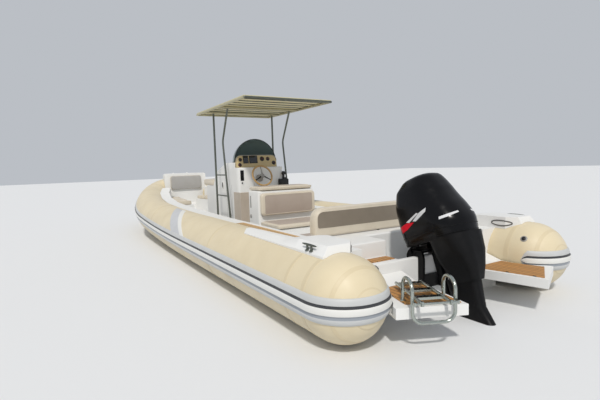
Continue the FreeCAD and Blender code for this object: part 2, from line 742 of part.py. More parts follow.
def make_console():
    """Hollow console with a door in its front face."""
    outer = pad("console_outer", "XZ", [
        ("console_aft", "sole_height + seat_gap"), ("console_aft", "console_desk"),
        ("console_aft + 130", "console_top"), ("console_aft + 555", "console_top"),
        ("console_aft + 1050", "console_seat + 245"), ("console_aft + 1220", "console_seat"),
        ("console_front", "console_seat"), ("console_front", "sole_height + seat_gap")],
        "2 * console_half", symmetric=True)
    inner = pad("console_inner", "XZ", [
        ("console_aft + console_wall", "sole_height + console_wall"),
        ("console_aft + console_wall", "console_desk - console_wall"),
        ("console_aft + 130 + console_wall", "console_top - console_wall"),
        ("console_aft + 550", "console_top - console_wall"),
        ("console_aft + 1040", "console_seat + 233"),
        ("console_aft + 1210", "console_seat - console_wall"),
        ("console_front - console_wall", "console_seat - console_wall"),
        ("console_front - console_wall", "sole_height + console_wall")],
        "2 * console_half - 2 * console_wall", symmetric=True)
    shell = cut("console_shell", outer, inner)
    hole = box("console_doorway", ("console_front - 2 * console_wall", "-door_half", "door_low"),
               ("console_front + 10", "door_half", "door_top"))
    keep(cut("console_cut", shell, hole), "console")
    panel = box("door_panel", ("console_front - console_wall", "-door_half + door_gap", "door_low + door_gap"),
                ("console_front + 8", "door_half - door_gap", "door_top - door_gap"))
    barrel = cylinder("door_barrel", "7", "door_top - door_low - 60",
                      ("console_front + 7 + seat_gap", "door_half", "door_low + 30"))
    leaf = box("door_leaf", ("console_front + 2", "door_half - 30", "door_low + 40"),
               ("console_front + 14", "door_half", "door_top - 40"))
    keep(fuse("console_door_fuse", [panel, barrel, leaf]), "console_door")
    slab("front_seat_box", ("console_aft + 1240", "-console_half + 10", "console_seat + seat_gap"),
         ("console_front + 280", "console_half - 10", "console_seat + 105"), "front_seat_cushion")


def make_dash():
    """Arched dash pod, its instruments and the windscreen."""
    corner = "dash_corner"
    low = "console_top + seat_gap"
    arch = pad("dash_arch", "YZ", [
        ("-dash_half", "console_desk + 10"), ("-dash_half", f"dash_top - {corner}"),
        (f"-dash_half + 0.29 * {corner}", f"dash_top - 0.29 * {corner}"),
        (f"-dash_half + {corner}", "dash_top"), (f"dash_half - {corner}", "dash_top"),
        (f"dash_half - 0.29 * {corner}", f"dash_top - 0.29 * {corner}"),
        ("dash_half", f"dash_top - {corner}"), ("dash_half", "console_desk + 10")], "dash_deep",
        "console_aft + 15")
    slope = pad("dash_slope", "XZ", [
        ("console_aft + 15", "console_desk + 12.3"), ("console_aft + 75", "dash_top"),
        ("console_aft + 15 + dash_deep", "dash_top"), ("console_aft + 15 + dash_deep", low),
        ("console_aft + 130", low)], "2 * dash_half", symmetric=True)
    pod = common("dash_common", [arch, slope])
    doc.recompute()
    make_instruments(pod.Shape)
    make_windscreen()


# name, y from the middle, height above the dash's foot along its face, radius
INSTRUMENTS = (
    ("switch port low", 300, 60, 24),
    ("gauge port", 275, 120, 26),
    ("gauge starboard inner", -95, 125, 32),
    ("gauge starboard", -180, 120, 28),
    ("gauge starboard low", -290, 75, 28),
)
# y from the middle, height along the face, half width, half height
DISPLAY = (70, 118, 105, 52)


def make_instruments(pod):
    """Dash pod with its round gauges, and the square display that stands on its face."""
    foot = V(s.console_aft + 15, 0, s.console_desk + 12.3)
    head = V(s.console_aft + 75, 0, s.dash_top)
    along = (head - foot).normalize()
    out = V(-along.z, 0, along.x)
    for _, y, high, radius in INSTRUMENTS:
        centre = foot + along * high + V(0, y, 0)
        pod = pod.fuse(Part.makeCylinder(radius, 20, centre - out * 8, out))
    feature("dash_pod", pod)
    y, high, half, tall = DISPLAY
    screen = Part.makeBox(2 * half, 2 * tall, 14)
    screen.Placement = FreeCAD.Placement(foot + along * (high - tall) + V(0, y + half, 0) + out * s.seat_gap,
                                         FreeCAD.Rotation(V(0, -1, 0), along, out, "ZXY"))
    feature("helm_display", screen)


def make_windscreen():
    """Smoked dome in front of the dash, on the console's top."""
    centre = V(s.console_aft + s.dash_deep + 20, 0, s.console_top + s.seat_gap)
    shell = Part.makeSphere(s.screen_radius, centre)
    shell = shell.cut(Part.makeSphere(s.screen_radius - s.screen_thick, centre))
    reach = 2 * s.screen_radius
    front = Part.makeBox(reach, 2 * reach, reach, V(centre.x, -reach, centre.z))
    feature("windscreen", shell.common(front))


def make_helm_controls():
    """Steering wheel and its column, and the engine control lever."""
    hub = V(s.wheel_place, s.wheel_side, s.wheel_height)
    rake = math.radians(s.wheel_rake)
    axis = V(-math.cos(rake), 0, math.sin(rake))
    rim = Part.makeTorus(s.wheel_radius, s.wheel_rim, hub, axis)
    boss = Part.makeCylinder(38, 34, hub - axis * 22, axis)
    wheel = rim.fuse(boss)
    for turn in (0, 120, 240):
        way = FreeCAD.Rotation(axis, turn).multVec(V(math.sin(rake), 0, math.cos(rake)))
        spoke = Part.makeCylinder(8, s.wheel_radius - 6, hub, way)
        wheel = wheel.fuse(spoke)
    feature("steering_wheel", wheel)
    start = hub - axis * (22 + s.seat_gap)
    reach = (s.console_aft - start.x) / math.cos(rake) + 30
    column = Part.makeCylinder(26, reach, start, axis * -1)
    column = column.fuse(Part.makeCone(30, 60, 60, start - axis * 30, axis * -1))
    wall = Part.makeBox(400, 400, 600, V(s.console_aft - s.seat_gap, s.wheel_side - 200, s.wheel_height - 300))
    feature("steering_column", column.cut(wall))
    side = "-console_half - seat_gap"
    block = box("lever_box", ("console_aft + 10", side + " - 70", "1010"), ("console_aft + 130", side, "1110"))
    arm = box("lever_arm", ("console_aft + 62", side + " - 52", "1100"), ("console_aft + 84", side + " - 30", "1190"))
    grip = cylinder("lever_grip", "17", "80", ("console_aft + 73", side + " - 82", "1192"), "y")
    keep(fuse("lever", [block, arm, grip]), "engine_control_lever")


def tube_path(points, radius, bend):
    """Round bar along straight runs joined by tangent arcs."""
    edges = []
    last = points[0]
    for before, corner, after in zip(points, points[1:], points[2:]):
        back = (before - corner).normalize()
        ahead = (after - corner).normalize()
        half = back.getAngle(ahead) / 2
        reach = bend / math.tan(half)
        start = corner + back * reach
        end = corner + ahead * reach
        middle = (back + ahead).normalize()
        centre = corner + middle * (bend / math.sin(half))
        edges.append(Part.LineSegment(last, start).toShape())
        edges.append(Part.Arc(start, centre - middle * bend, end).toShape())
        last = end
    edges.append(Part.LineSegment(last, points[-1]).toShape())
    wire = Part.Wire(edges)
    way = (points[1] - points[0]).normalize()
    circle = Part.Wire(Part.Circle(points[0], way, radius).toShape())
    return wire.makePipeShell([circle], True, False)


def make_canopy():
    """Posts with their rungs, edge tube and slats."""
    low = s.sole_height + s.seat_gap
    head = s.canopy_height - s.canopy_tube - s.seat_gap
    for sign, name in ((1, "port"), (-1, "starboard")):
        y = sign * s.post_side
        front = Part.makeCylinder(s.post_radius, head - low, V(s.post_front, y, low))
        bent = tube_path([V(s.post_foot, y, low), V(s.post_knee, y, s.post_knee_height),
                          V(s.post_head, y, head)], s.post_radius, 180)
        frame = front.fuse(bent)
        for height in (s.rung_low, s.rung_high):
            share = (height - low) / (s.post_knee_height - low)
            start = s.post_foot + (s.post_knee - s.post_foot) * share
            frame = frame.fuse(Part.makeCylinder(14, s.post_front - start, V(start, y, height), V(1, 0, 0)))
        for x in (s.post_foot, s.post_front):
            frame = frame.fuse(Part.makeCylinder(45, 8, V(x, y, low)))
        trim = Part.makeBox(2000, 400, 200, V(s.post_foot - 500, y - 200, head))
        floor = Part.makeBox(2000, 400, 100, V(s.post_foot - 500, y - 200, low - 100))
        feature(name + "_canopy_posts", frame.cut(trim).cut(floor).removeSplitter())
    make_canopy_top()


def make_canopy_top():
    """Edge tube with cross bars and the slats above it."""
    z = s.canopy_height
    radius = s.canopy_tube
    aft = s.canopy_aft + radius
    fore = s.canopy_aft + s.canopy_length - radius
    half = s.canopy_half - radius
    rim = None
    for y in (half, -half):
        bar = Part.makeCylinder(radius, fore - aft, V(aft, y, z), V(1, 0, 0))
        rim = bar if rim is None else rim.fuse(bar)
    for x in (aft, s.post_head, s.post_front, fore):
        rim = rim.fuse(Part.makeCylinder(radius, 2 * half, V(x, -half, z), V(0, 1, 0)))
    for x in (aft, fore):
        for y in (half, -half):
            rim = rim.fuse(Part.makeSphere(radius, V(x, y, z)))
    feature("canopy_frame", rim)
    count = int(s.slat_count)
    pitch = (s.canopy_length - 2 * radius) / count
    under = z + radius + s.seat_gap
    top = None
    for index in range(count):
        slat = Part.makeBox(pitch - s.slat_slot, 2 * s.canopy_half - 20, s.slat_thick,
                            V(aft + index * pitch + s.slat_slot / 2, -s.canopy_half + 10, under))
        top = slat if top is None else top.fuse(slat)
    for y in (-0.62, 0.0, 0.62):
        strip = Part.makeBox(s.canopy_length - 2 * radius, 60, s.slat_thick,
                             V(aft, y * s.canopy_half - 30, under))
        top = top.fuse(strip)
    feature("canopy_slats", top.removeSplitter())


def make_bow(cutter):
    """Bow locker with its lid, seats and cushions."""
    first, middle, last = s.bow_locker_aft, 9000, 9290
    half = s.bow_locker_half
    top = s.bow_locker_top
    wires = []
    for x, wide in ((first, half), (middle, half - 90), (last, 180)):
        low = hull_top(x) + s.seat_gap
        wires.append(outline(x, [(0, low), (wide, low), (wide, top - 25), (wide - 40, top), (0, top)]))
    body = Part.makeLoft(wires, True, True).cut(cutter)
    body = max(body.Solids, key=lambda solid: solid.Volume)
    lid_aft = first + 90
    gap = s.door_gap
    seat = Part.makeBox(s.bow_lid_length + 2 * gap, 2 * (s.bow_lid_half + gap), s.bow_lid_thick + 60,
                        V(lid_aft - gap, -s.bow_lid_half - gap, top - s.bow_lid_thick))
    well = Part.makeBox(s.bow_lid_length - 60, 2 * s.bow_lid_half - 60, s.bow_well_deep,
                        V(lid_aft + 30, -s.bow_lid_half + 30, top - s.bow_well_deep))
    feature("bow_locker", body.cut(seat).cut(well))
    lid = Part.makeBox(s.bow_lid_length, 2 * s.bow_lid_half, s.bow_lid_thick - s.seat_gap,
                       V(lid_aft, -s.bow_lid_half, top - s.bow_lid_thick + s.seat_gap))
    hinge = V(lid_aft + s.bow_lid_length + 2, 0, top + 7 + s.seat_gap)
    for y in (-190, 150):
        lid = lid.fuse(Part.makeCylinder(7, 40, hinge + V(0, y, 0), V(0, 1, 0)))
        lid = lid.fuse(Part.makeBox(40, 40, 6, hinge + V(-40, y, -7.6)))
    feature("bow_locker_lid", lid)
    make_bow_seats()


def bow_seat(sign, bottom, up, shrink):
    """Seat block along the coaming forward of the console."""
    end = s.liner_front - 5 - max(shrink, 0)
    wires = []
    for x in (s.bow_seat_aft + max(shrink, 0), 7000, 7700, end):
        out = wall_inner(x) - shrink
        share = (end - x) / (end - s.bow_seat_aft)
        inner = max(wall_inner(x) - s.bow_seat_wide * (0.55 + 0.45 * share), 40) + max(shrink, 0)
        points = [(inner, bottom), (out, bottom), (out, up), (inner, up)]
        wires.append(Part.makePolygon([V(x, sign * a, b) for a, b in points + points[:1]]))
    return Part.makeLoft(wires, True, True)


def make_bow_seats():
    """Cushions on the bow seats and the pad on the locker's aft face."""
    for sign, name in ((1, "port"), (-1, "starboard")):
        feature(name + "_bow_cushion", bow_seat(sign, s.bow_seat_height + s.seat_gap,
                                                s.bow_seat_height + s.cushion_thick, 8))
    back = Part.makeBox(50, 2 * s.bow_locker_half - 240, 330,
                        V(s.bow_locker_aft - 50 - s.seat_gap, -s.bow_locker_half + 120, s.bow_locker_top - 380))
    feature("bow_backrest", back)


def place_ladder(shape):
    """Move a shape from the platform's aft edge to the boat, square to that edge.

    The edge's own frame has its origin at the platform's inner corner, +X inboard of
    the edge and +Y along it.
    """
    sweep = math.atan2(s.platform_sweep, s.platform_outer_aft - s.platform_inner_aft)
    turn = FreeCAD.Rotation(V(0, 0, 1), -math.degrees(sweep))
    moved = shape.copy()
    moved.Placement = FreeCAD.Placement(V(0, s.platform_inner_aft, 0), turn).multiply(moved.Placement)
    return moved


def make_ladder():
    """Guard hoops on the port platform and the folding ladder between them."""
    r = s.ladder_tube
    top = s.platform_top + s.teak_thick + 2 * s.seat_gap
    legs = []
    for y in (s.ladder_outer, s.ladder_inner):
        legs.append([V(s.ladder_reach, y, top), V(s.ladder_reach, y, s.ladder_top),
                     V(s.ladder_aft, y, s.ladder_top), V(s.ladder_aft, y, s.ladder_low)])
    guard = tube_path(legs[0] + list(reversed(legs[1])), r, 75)
    for leg in legs:
        guard = guard.fuse(Part.makeCylinder(20, 6, leg[0]))
    pivot = V(s.ladder_pivot, 0, s.ladder_pivot_height)
    middle = (s.ladder_inner + s.ladder_outer) / 2
    bar = Part.makeCylinder(8, s.ladder_outer - s.ladder_inner, V(pivot.x, s.ladder_inner, pivot.z), V(0, 1, 0))
    for y in (s.ladder_inner, s.ladder_outer):
        bar = bar.fuse(Part.makeBox(s.ladder_aft - pivot.x + 8, 12, 24, V(pivot.x - 8, y - 6, pivot.z - 12)))
    feature("ladder_guard", place_ladder(guard.fuse(bar).removeSplitter()))
    rails = None
    hole = Part.makeCylinder(8.5, 600, V(pivot.x, middle - 300, pivot.z), V(0, 1, 0))
    for y in (middle - s.ladder_half, middle + s.ladder_half):
        eye = Part.makeCylinder(17, 18, V(pivot.x, y - 9, pivot.z), V(0, 1, 0))
        rail = Part.makeCylinder(r, s.ladder_length, V(pivot.x + 12, y, pivot.z), V(1, 0, 0))
        rails = eye.fuse(rail) if rails is None else rails.fuse([eye, rail])
    count = int(s.ladder_treads)
    for index in range(count):
        x = pivot.x + 105 + (s.ladder_length - 160) * index / (count - 1)
        rails = rails.fuse(Part.makeBox(50, 2 * s.ladder_half, 18, V(x, middle - s.ladder_half, pivot.z - 9)))
    feature("boarding_ladder", place_ladder(rails.cut(hole).removeSplitter()))


# engine frame: x aft of the tilt pin is negative, z up from the pin, before the tilt
# height, aft end, front end, half width, aft corner radius, front corner radius
COWL_SECTIONS = (
    ("lower edge", 60, -590, 28, 218, 200, 120),
    ("belt", 180, -592, 42, 236, 210, 140),
    ("shoulder", 400, -490, 38, 228, 200, 130),
    ("brow", 540, -425, 0, 200, 170, 120),
    ("crown", 610, -385, -75, 158, 130, 110),
    ("top", 635, -360, -130, 118, 100, 90),
)
APRON_SECTIONS = (
    ("foot", -340, -540, -262, 68, 50, 50),
    ("knee", -230, -575, -262, 105, 75, 55),
    ("middle", -110, -592, -262, 160, 110, 60),
    ("rim", 52, -592, -262, 216, 160, 90),
)
LEG_SECTIONS = (
    ("plate", -812, -590, -225, 42, 38, 38),
    ("lower", -700, -530, -218, 46, 42, 42),
    ("middle", -560, -490, -210, 50, 45, 45),
    ("neck", -300, -520, -210, 64, 50, 50),
)


def round_box(height, aft, fore, half, aft_corner, fore_corner):
    """Closed outline of four lines and four arcs at a height."""
    corners = ((aft, -half, aft_corner, 1, 1), (fore, -half, fore_corner, -1, 1),
               (fore, half, fore_corner, -1, -1), (aft, half, aft_corner, 1, -1))
    arcs = []
    for index, (x, y, size, sx, sy) in enumerate(corners):
        centre = V(x + sx * size, y + sy * size, height)
        along = V(centre.x, y, height)
        across = V(x, centre.y, height)
        middle = centre - V(sx, sy, 0).normalize() * size
        arcs.append((across, middle, along) if index % 2 == 0 else (along, middle, across))
    edges = []
    for (start, middle, end), following in zip(arcs, arcs[1:] + arcs[:1]):
        edges.append(Part.Arc(start, middle, end).toShape())
        edges.append(Part.LineSegment(end, following[0]).toShape())
    return Part.Wire(edges)


def section_loft(sections, shrink=0.0, raise_low=0.0):
    """Loft through named sections."""
    wires = []
    last = len(sections) - 1
    for index, (_, height, aft, fore, half, aft_corner, fore_corner) in enumerate(sections):
        up = height - (shrink if index == last else 0) - (raise_low if index == 0 else 0)
        wires.append(round_box(up, aft + shrink, fore - shrink, half - shrink,
                               aft_corner - shrink, fore_corner - shrink))
    return Part.makeLoft(wires, True, True)


def place_engine(shape, tilt=True):
    """Move a shape from the engine frame to the boat, tilted as stored."""
    turn = FreeCAD.Rotation(V(0, 1, 0), s.engine_tilt if tilt else 0)
    moved = shape.copy()
    moved.Placement = FreeCAD.Placement(V(s.tilt_place, 0, s.tilt_height), turn).multiply(moved.Placement)
    return moved


def make_engine_bracket():
    """Clamp bracket on the transom, swivel bracket on the tilt pin."""
    px, pz = s.tilt_place, s.tilt_height
    aft, front, top = s.transom_aft - s.seat_gap, s.transom_aft + s.transom_thick + s.seat_gap, \
        s.transom_top + s.seat_gap
    side = [(aft - 60, 150), (aft, 150), (aft, top), (front, top), (front, 350), (front + 40, 350),
            (px + 40, pz), (px + 20, pz + 24), (aft - 40, pz + 24), (aft - 60, pz - 40)]
    bracket = None
    for sign in (1, -1):
        y = s.clamp_inner if sign > 0 else -s.clamp_inner - s.clamp_plate
        face = Part.Face(Part.makePolygon([V(x, y, z) for x, z in side + side[:1]]))
        plate = face.extrude(V(0, s.clamp_plate, 0))
        bracket = plate if bracket is None else bracket.fuse(plate)
    cross = Part.makeBox(22, 2 * s.clamp_inner, 120, V(aft - 22, -s.clamp_inner, 160))
    pin = Part.makeCylinder(s.tilt_pin, 2 * (s.clamp_inner + s.clamp_plate) + 30,
                            V(px, -s.clamp_inner - s.clamp_plate - 15, pz), V(0, 1, 0))
    feature("clamp_bracket", bracket.fuse([cross, pin]).removeSplitter())
    back = -s.swivel_back
    tube = Part.makeCylinder(s.swivel_radius, s.swivel_low + 35, V(back, 0, -s.swivel_low))
    arm = Part.makeBox(-back, 180, 45, V(back, -90, -10))
    eye = Part.makeCylinder(s.tilt_pin + 10, 180, V(0, -90, 0), V(0, 1, 0))
    hole = Part.makeCylinder(s.tilt_pin + 0.3, 400, V(0, -200, 0), V(0, 1, 0))
    bore = Part.makeCylinder(18.3, s.swivel_low + 100, V(back, 0, -s.swivel_low - 20))
    swivel = tube.fuse([arm, eye]).cut(hole).cut(bore)
    feature("swivel_bracket", place_engine(swivel.removeSplitter()))


def make_engine_top():
    """Engine cover, its pan and the block inside."""
    outer = section_loft(COWL_SECTIONS)
    inner = section_loft(COWL_SECTIONS, s.cowl_wall, 1.0)
    feature("engine_cover", place_engine(outer.cut(inner)))
    block = Part.makeBox(330, 250, 380, V(-410, -125, s.cowl_low + 0.3))
    feature("engine_block", place_engine(block))


def make_engine_leg():
    """Pan, apron, leg, plates, gearcase and skeg."""
    apron = section_loft(APRON_SECTIONS)
    pan = Part.makeLoft([round_box(44, -586, 24, 214, 196, 116),
                         round_box(s.cowl_low - s.seat_gap, -590, 28, 218, 200, 120)], True, True)
    back = -s.swivel_back
    upper = Part.makeBox(170, 90, 10, V(-300, -45, 38))
    spindle = Part.makeCylinder(18, s.swivel_low + 80, V(back, 0, -s.swivel_low - 40))
    yoke = Part.makeBox(150, 80, 38, V(back - 120, -40, -s.swivel_low - 40))
    feature("engine_midsection", place_engine(
        apron.fuse([pan, upper, spindle, yoke, section_loft(LEG_SECTIONS)]).removeSplitter()))
    make_gearcase()


def make_gearcase():
    """Anti-ventilation plate, strut, bullet and skeg below the leg."""
    top = -s.leg_plate
    plate = Part.makeLoft([round_box(top - 6, -640, -150, 125, 90, 90), round_box(top + 7, -640, -150, 125, 90, 90)],
                          True, True)
    strut = Part.makeLoft([round_box(-s.gear_axis, -500, -200, 20, 18, 18), round_box(top, -505, -225, 32, 28, 28)],
                          True, True)
    axis = V(1, 0, 0)
    bullet = Part.makeCylinder(s.gear_radius, 260, V(-480, 0, -s.gear_axis), axis)
    nose = Part.makeCone(s.gear_radius, 12, 150, V(-220, 0, -s.gear_axis), axis)
    tail = Part.makeCone(s.prop_hub, s.gear_radius, 90, V(-570, 0, -s.gear_axis), axis)
    skeg_points = [(-520, -s.gear_axis), (-250, -s.gear_axis), (-360, -s.skeg_low), (-460, -s.skeg_low)]
    face = Part.Face(Part.makePolygon([V(x, -8, z) for x, z in skeg_points + skeg_points[:1]]))
    skeg = face.extrude(V(0, 16, 0))
    feature("gearcase", place_engine(plate.fuse([strut, bullet, nose, tail, skeg]).removeSplitter()))
    make_propeller()


def make_propeller():
    """Hub and twisted blades."""
    hub = Part.makeCone(s.prop_hub, s.prop_hub - 12, 120, V(-570 - s.seat_gap, 0, -s.gear_axis), V(-1, 0, 0))
    prop = hub
    for index in range(int(s.blade_count)):
        wires = []
        for radius, chord, pitch in ((s.prop_hub - 20, 85, 58), (0.62 * s.prop_radius, 130, 38),
                                     (s.prop_radius, 70, 26)):
            turn = math.radians(pitch)
            along = V(math.sin(turn), math.cos(turn), 0) * (chord / 2)
            thick = V(math.cos(turn), -math.sin(turn), 0) * 4
            centre = V(-630, 0, radius)
            points = [centre - along - thick, centre + along - thick, centre + along + thick,
                      centre - along + thick]
            wires.append(Part.makePolygon(points + points[:1]))
        blade = Part.makeLoft(wires, True, True)
        blade.Placement = FreeCAD.Placement(V(0, 0, -s.gear_axis),
                                            FreeCAD.Rotation(V(1, 0, 0), 360 * index / s.blade_count))
        prop = prop.fuse(blade)
    feature("propeller", place_engine(prop))


def check_and_write():
    """Stop on any failed object, then write each piece."""
    doc.recompute()
    for obj in doc.Objects:
        if "Invalid" in obj.State or "Error" in obj.State:
            raise RuntimeError(f"{obj.Name} failed: {obj.State}")
    os.makedirs("parts", exist_ok=True)
    for obj in PARTS:
        shape = obj.Shape
        if shape.isNull() or not shape.isValid():
            raise RuntimeError(f"{obj.Label} is not a valid shape")
        shape.exportStep(f"parts/{obj.Label}.step")
        print(obj.Label, len(shape.Solids), round(shape.Volume / 1e6, 2))


def main():
    """Build every piece of the boat."""
    make_tubes()
    make_strakes()
    cutter = tube_cutter()
    make_hull(cutter)
    make_liner(cutter)
    make_stern()
    make_platforms(cutter)
    make_quarters(cutter)
    make_coaming_fittings()
    make_cleats()
    make_stern_seat()
    make_helm_seat()
    make_console()
    make_dash()
    make_helm_controls()
    make_canopy()
    make_bow(cutter)
    make_ladder()
    make_engine_bracket()
    make_engine_top()
    make_engine_leg()
    check_and_write()


main()
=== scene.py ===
"""Looks of the rigid inflatable boat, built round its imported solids.

Row frame in metres: +X to the bow, +Y to port, +Z up, z = 0 at the waterline.
"""
import json
from math import copysign, cos, hypot, pi, radians, sin, sqrt

import bmesh
import bpy
from mathutils import Matrix, Vector
from mathutils.bvhtree import BVHTree


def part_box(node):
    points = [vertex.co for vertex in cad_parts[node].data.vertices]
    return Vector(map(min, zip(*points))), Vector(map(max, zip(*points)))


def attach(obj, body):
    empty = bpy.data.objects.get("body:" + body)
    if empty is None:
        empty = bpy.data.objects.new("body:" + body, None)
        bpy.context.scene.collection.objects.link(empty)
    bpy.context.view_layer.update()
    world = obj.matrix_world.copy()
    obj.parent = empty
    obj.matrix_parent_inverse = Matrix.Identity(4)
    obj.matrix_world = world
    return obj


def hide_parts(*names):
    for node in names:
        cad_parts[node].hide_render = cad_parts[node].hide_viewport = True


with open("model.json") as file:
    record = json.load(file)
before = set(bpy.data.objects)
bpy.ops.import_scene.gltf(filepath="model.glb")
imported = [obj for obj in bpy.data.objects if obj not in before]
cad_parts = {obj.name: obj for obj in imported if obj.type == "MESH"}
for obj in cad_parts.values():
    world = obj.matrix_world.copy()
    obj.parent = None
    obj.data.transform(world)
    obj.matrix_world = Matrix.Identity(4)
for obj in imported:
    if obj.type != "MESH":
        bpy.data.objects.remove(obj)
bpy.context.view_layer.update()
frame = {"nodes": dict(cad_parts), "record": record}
NODES = frame["nodes"]
BODY_OF = {node: body for body, nodes in frame["record"]["behaviour"]["bodies"].items() for node in nodes}
SCENE = bpy.context.scene
SIDES = ((1, "port"), (-1, "starboard"))
ENDS = (True, True)
AHEAD = Vector((1, 0, 0))
PORT = Vector((0, 1, 0))
UP = Vector((0, 0, 1))


def linear(*colour):
    """Shader colour from values of 0 to 255 as they look."""
    shares = [value / 255 for value in colour]
    return (*(s / 12.92 if s < 0.04045 else ((s + 0.055) / 1.055) ** 2.4 for s in shares), 1)


def tinted(colour, *factors):
    """Colour times a factor for each channel."""
    return (*(min(1, c * f) for c, f in zip(colour, factors)), 1)


class Look:
    """Node tree of one material, with short calls for the usual nodes."""

    def __init__(self, name, colour, rough, slot=None, **sockets):
        self.material = bpy.data.materials.new(name)
        self.material.use_nodes = True
        self.tree = self.material.node_tree
        self.shader = self.tree.nodes["Principled BSDF"]
        self.colour = linear(*colour)
        self.shader.inputs["Base Color"].default_value = self.colour
        self.shader.inputs["Roughness"].default_value = rough
        for socket, value in sockets.items():
            self.shader.inputs[socket.replace("_", " ")].default_value = value
        self.place = self.tree.nodes.new("ShaderNodeTexCoord").outputs["Object"]

    def node(self, kind, **inputs):
        made = self.tree.nodes.new("ShaderNode" + kind)
        for socket, value in inputs.items():
            self.feed(made, socket.replace("_", " "), value)
        return made

    def feed(self, node, socket, value):
        if isinstance(value, bpy.types.NodeSocket):
            self.tree.links.new(value, node.inputs[socket])
        else:
            node.inputs[socket].default_value = value

    def noise(self, scale, detail=3, vector=None):
        return self.node("TexNoise", Vector=vector or self.place, Scale=scale, Detail=detail).outputs["Fac"]

    def ramp(self, value, low, high, start, end):
        """Value from low..high moved to start..end."""
        made = self.node("MapRange", Value=value, From_Min=low, From_Max=high, To_Min=start, To_Max=end)
        return made.outputs["Result"]

    def maths(self, kind, a, b=0):
        made = self.tree.nodes.new("ShaderNodeMath")
        made.operation = kind
        self.feed(made, 0, a)
        self.feed(made, 1, b)
        return made.outputs[0]

    def blend(self, share, first, second):
        """Mix of two colours."""
        made = self.tree.nodes.new("ShaderNodeMix")
        made.data_type = "RGBA"
        self.feed(made, 0, share)
        self.feed(made, 6, first)
        self.feed(made, 7, second)
        return made.outputs[2]

    def bump(self, height, strength, distance):
        made = self.node("Bump", Height=height, Strength=strength, Distance=distance)
        self.feed(self.shader, "Normal", made.outputs["Normal"])

    def mottle(self, scale, amount, tint=(0.82, 0.8, 0.76)):
        """Faint stains over the base colour."""
        share = self.ramp(self.noise(scale, 5), 0.42, 0.75, 0, amount)
        self.feed(self.shader, "Base Color", self.blend(share, self.colour, tinted(self.colour, *tint)))

    def wear(self, scale, low, high):
        """Roughness that varies over the surface."""
        self.feed(self.shader, "Roughness", self.ramp(self.noise(scale, 4), 0.3, 0.7, low, high))


def rubber(name, colour, amount=0.5):
    """Rubber-coated cloth: a fine weave, soft stains."""
    look = Look(name, colour, 0.5, "tube_fabric", Sheen_Weight=0.15)
    look.mottle(3, amount)
    look.wear(9, 0.42, 0.6)
    weave = look.maths("MULTIPLY", look.noise(900, 1), 0.25)
    look.bump(look.maths("ADD", weave, look.noise(6, 3)), 0.25, 0.004)
    return look.material


def gelcoat(name, colour):
    """Moulded shell with a soft gloss."""
    look = Look(name, colour, 0.42, "gelcoat", Specular_IOR_Level=0.35)
    look.mottle(2.2, 0.08, (0.88, 0.87, 0.84))
    return look.material


def vinyl(name, colour):
    """Upholstery with a fine leather grain."""
    look = Look(name, colour, 0.5, "cushion_vinyl", Sheen_Weight=0.2)
    look.mottle(7, 0.4)
    look.wear(20, 0.4, 0.58)
    cells = look.node("TexVoronoi", Vector=look.place, Scale=420)
    look.bump(look.maths("ADD", cells.outputs["Distance"], look.noise(35, 4)), 0.22, 0.0012)
    return look.material


def planked(name, colour, seam=0.006, width=0.05, caulk=(30, 24, 20)):
    """Wood strips along X with dark caulking between them."""
    look = Look(name, colour, 0.62, "teak")
    stretched = look.node("Mapping", Vector=look.place, Scale=(9, 160, 60)).outputs["Vector"]
    grain = look.noise(1, 6, stretched)
    across = look.node("SeparateXYZ", Vector=look.place).outputs["Y"]
    strip = look.maths("MULTIPLY", across, 1 / width)
    each = look.node("TexWhiteNoise")
    each.noise_dimensions = "1D"
    look.feed(each, "W", look.maths("FLOOR", strip))
    brown = tinted(look.colour, 0.62, 0.62, 0.62)
    pale = tinted(look.colour, 1.22, 1.22, 1.22)
    tone = look.blend(look.ramp(grain, 0.3, 0.7, 0, 0.75), look.colour, brown)
    tone = look.blend(look.ramp(each.outputs["Value"], 0, 1, 0, 0.4), tone, pale)
    edge = look.maths("ABSOLUTE", look.maths("SUBTRACT", look.maths("FRACT", strip), 0.5))
    line = look.maths("GREATER_THAN", edge, 0.5 - 0.5 * seam / width)
    look.feed(look.shader, "Base Color", look.blend(line, tone, linear(*caulk)))
    look.bump(look.maths("SUBTRACT", look.maths("MULTIPLY", grain, 0.4), line), 0.4, 0.0015)
    return look.material


def metal(name, colour, rough):
    """Polished or satin metal with hairline marks."""
    look = Look(name, colour, rough, "stainless", Metallic=1)
    look.wear(30, rough * 0.7, rough * 1.5)
    look.bump(look.noise(60, 3), 0.05, 0.0005)
    return look.material


def plastic(name, colour, rough, slot="black_plastic", coat=0, grain=300, shine=0.5):
    """Moulded plastic with a fine grain."""
    look = Look(name, colour, rough, slot, Coat_Weight=coat, Coat_Roughness=0.08, Specular_IOR_Level=shine)
    look.mottle(12, 0.25)
    look.wear(25, rough * 0.8, rough * 1.25)
    look.bump(look.noise(grain, 2), 0.12, 0.0006)
    return look.material


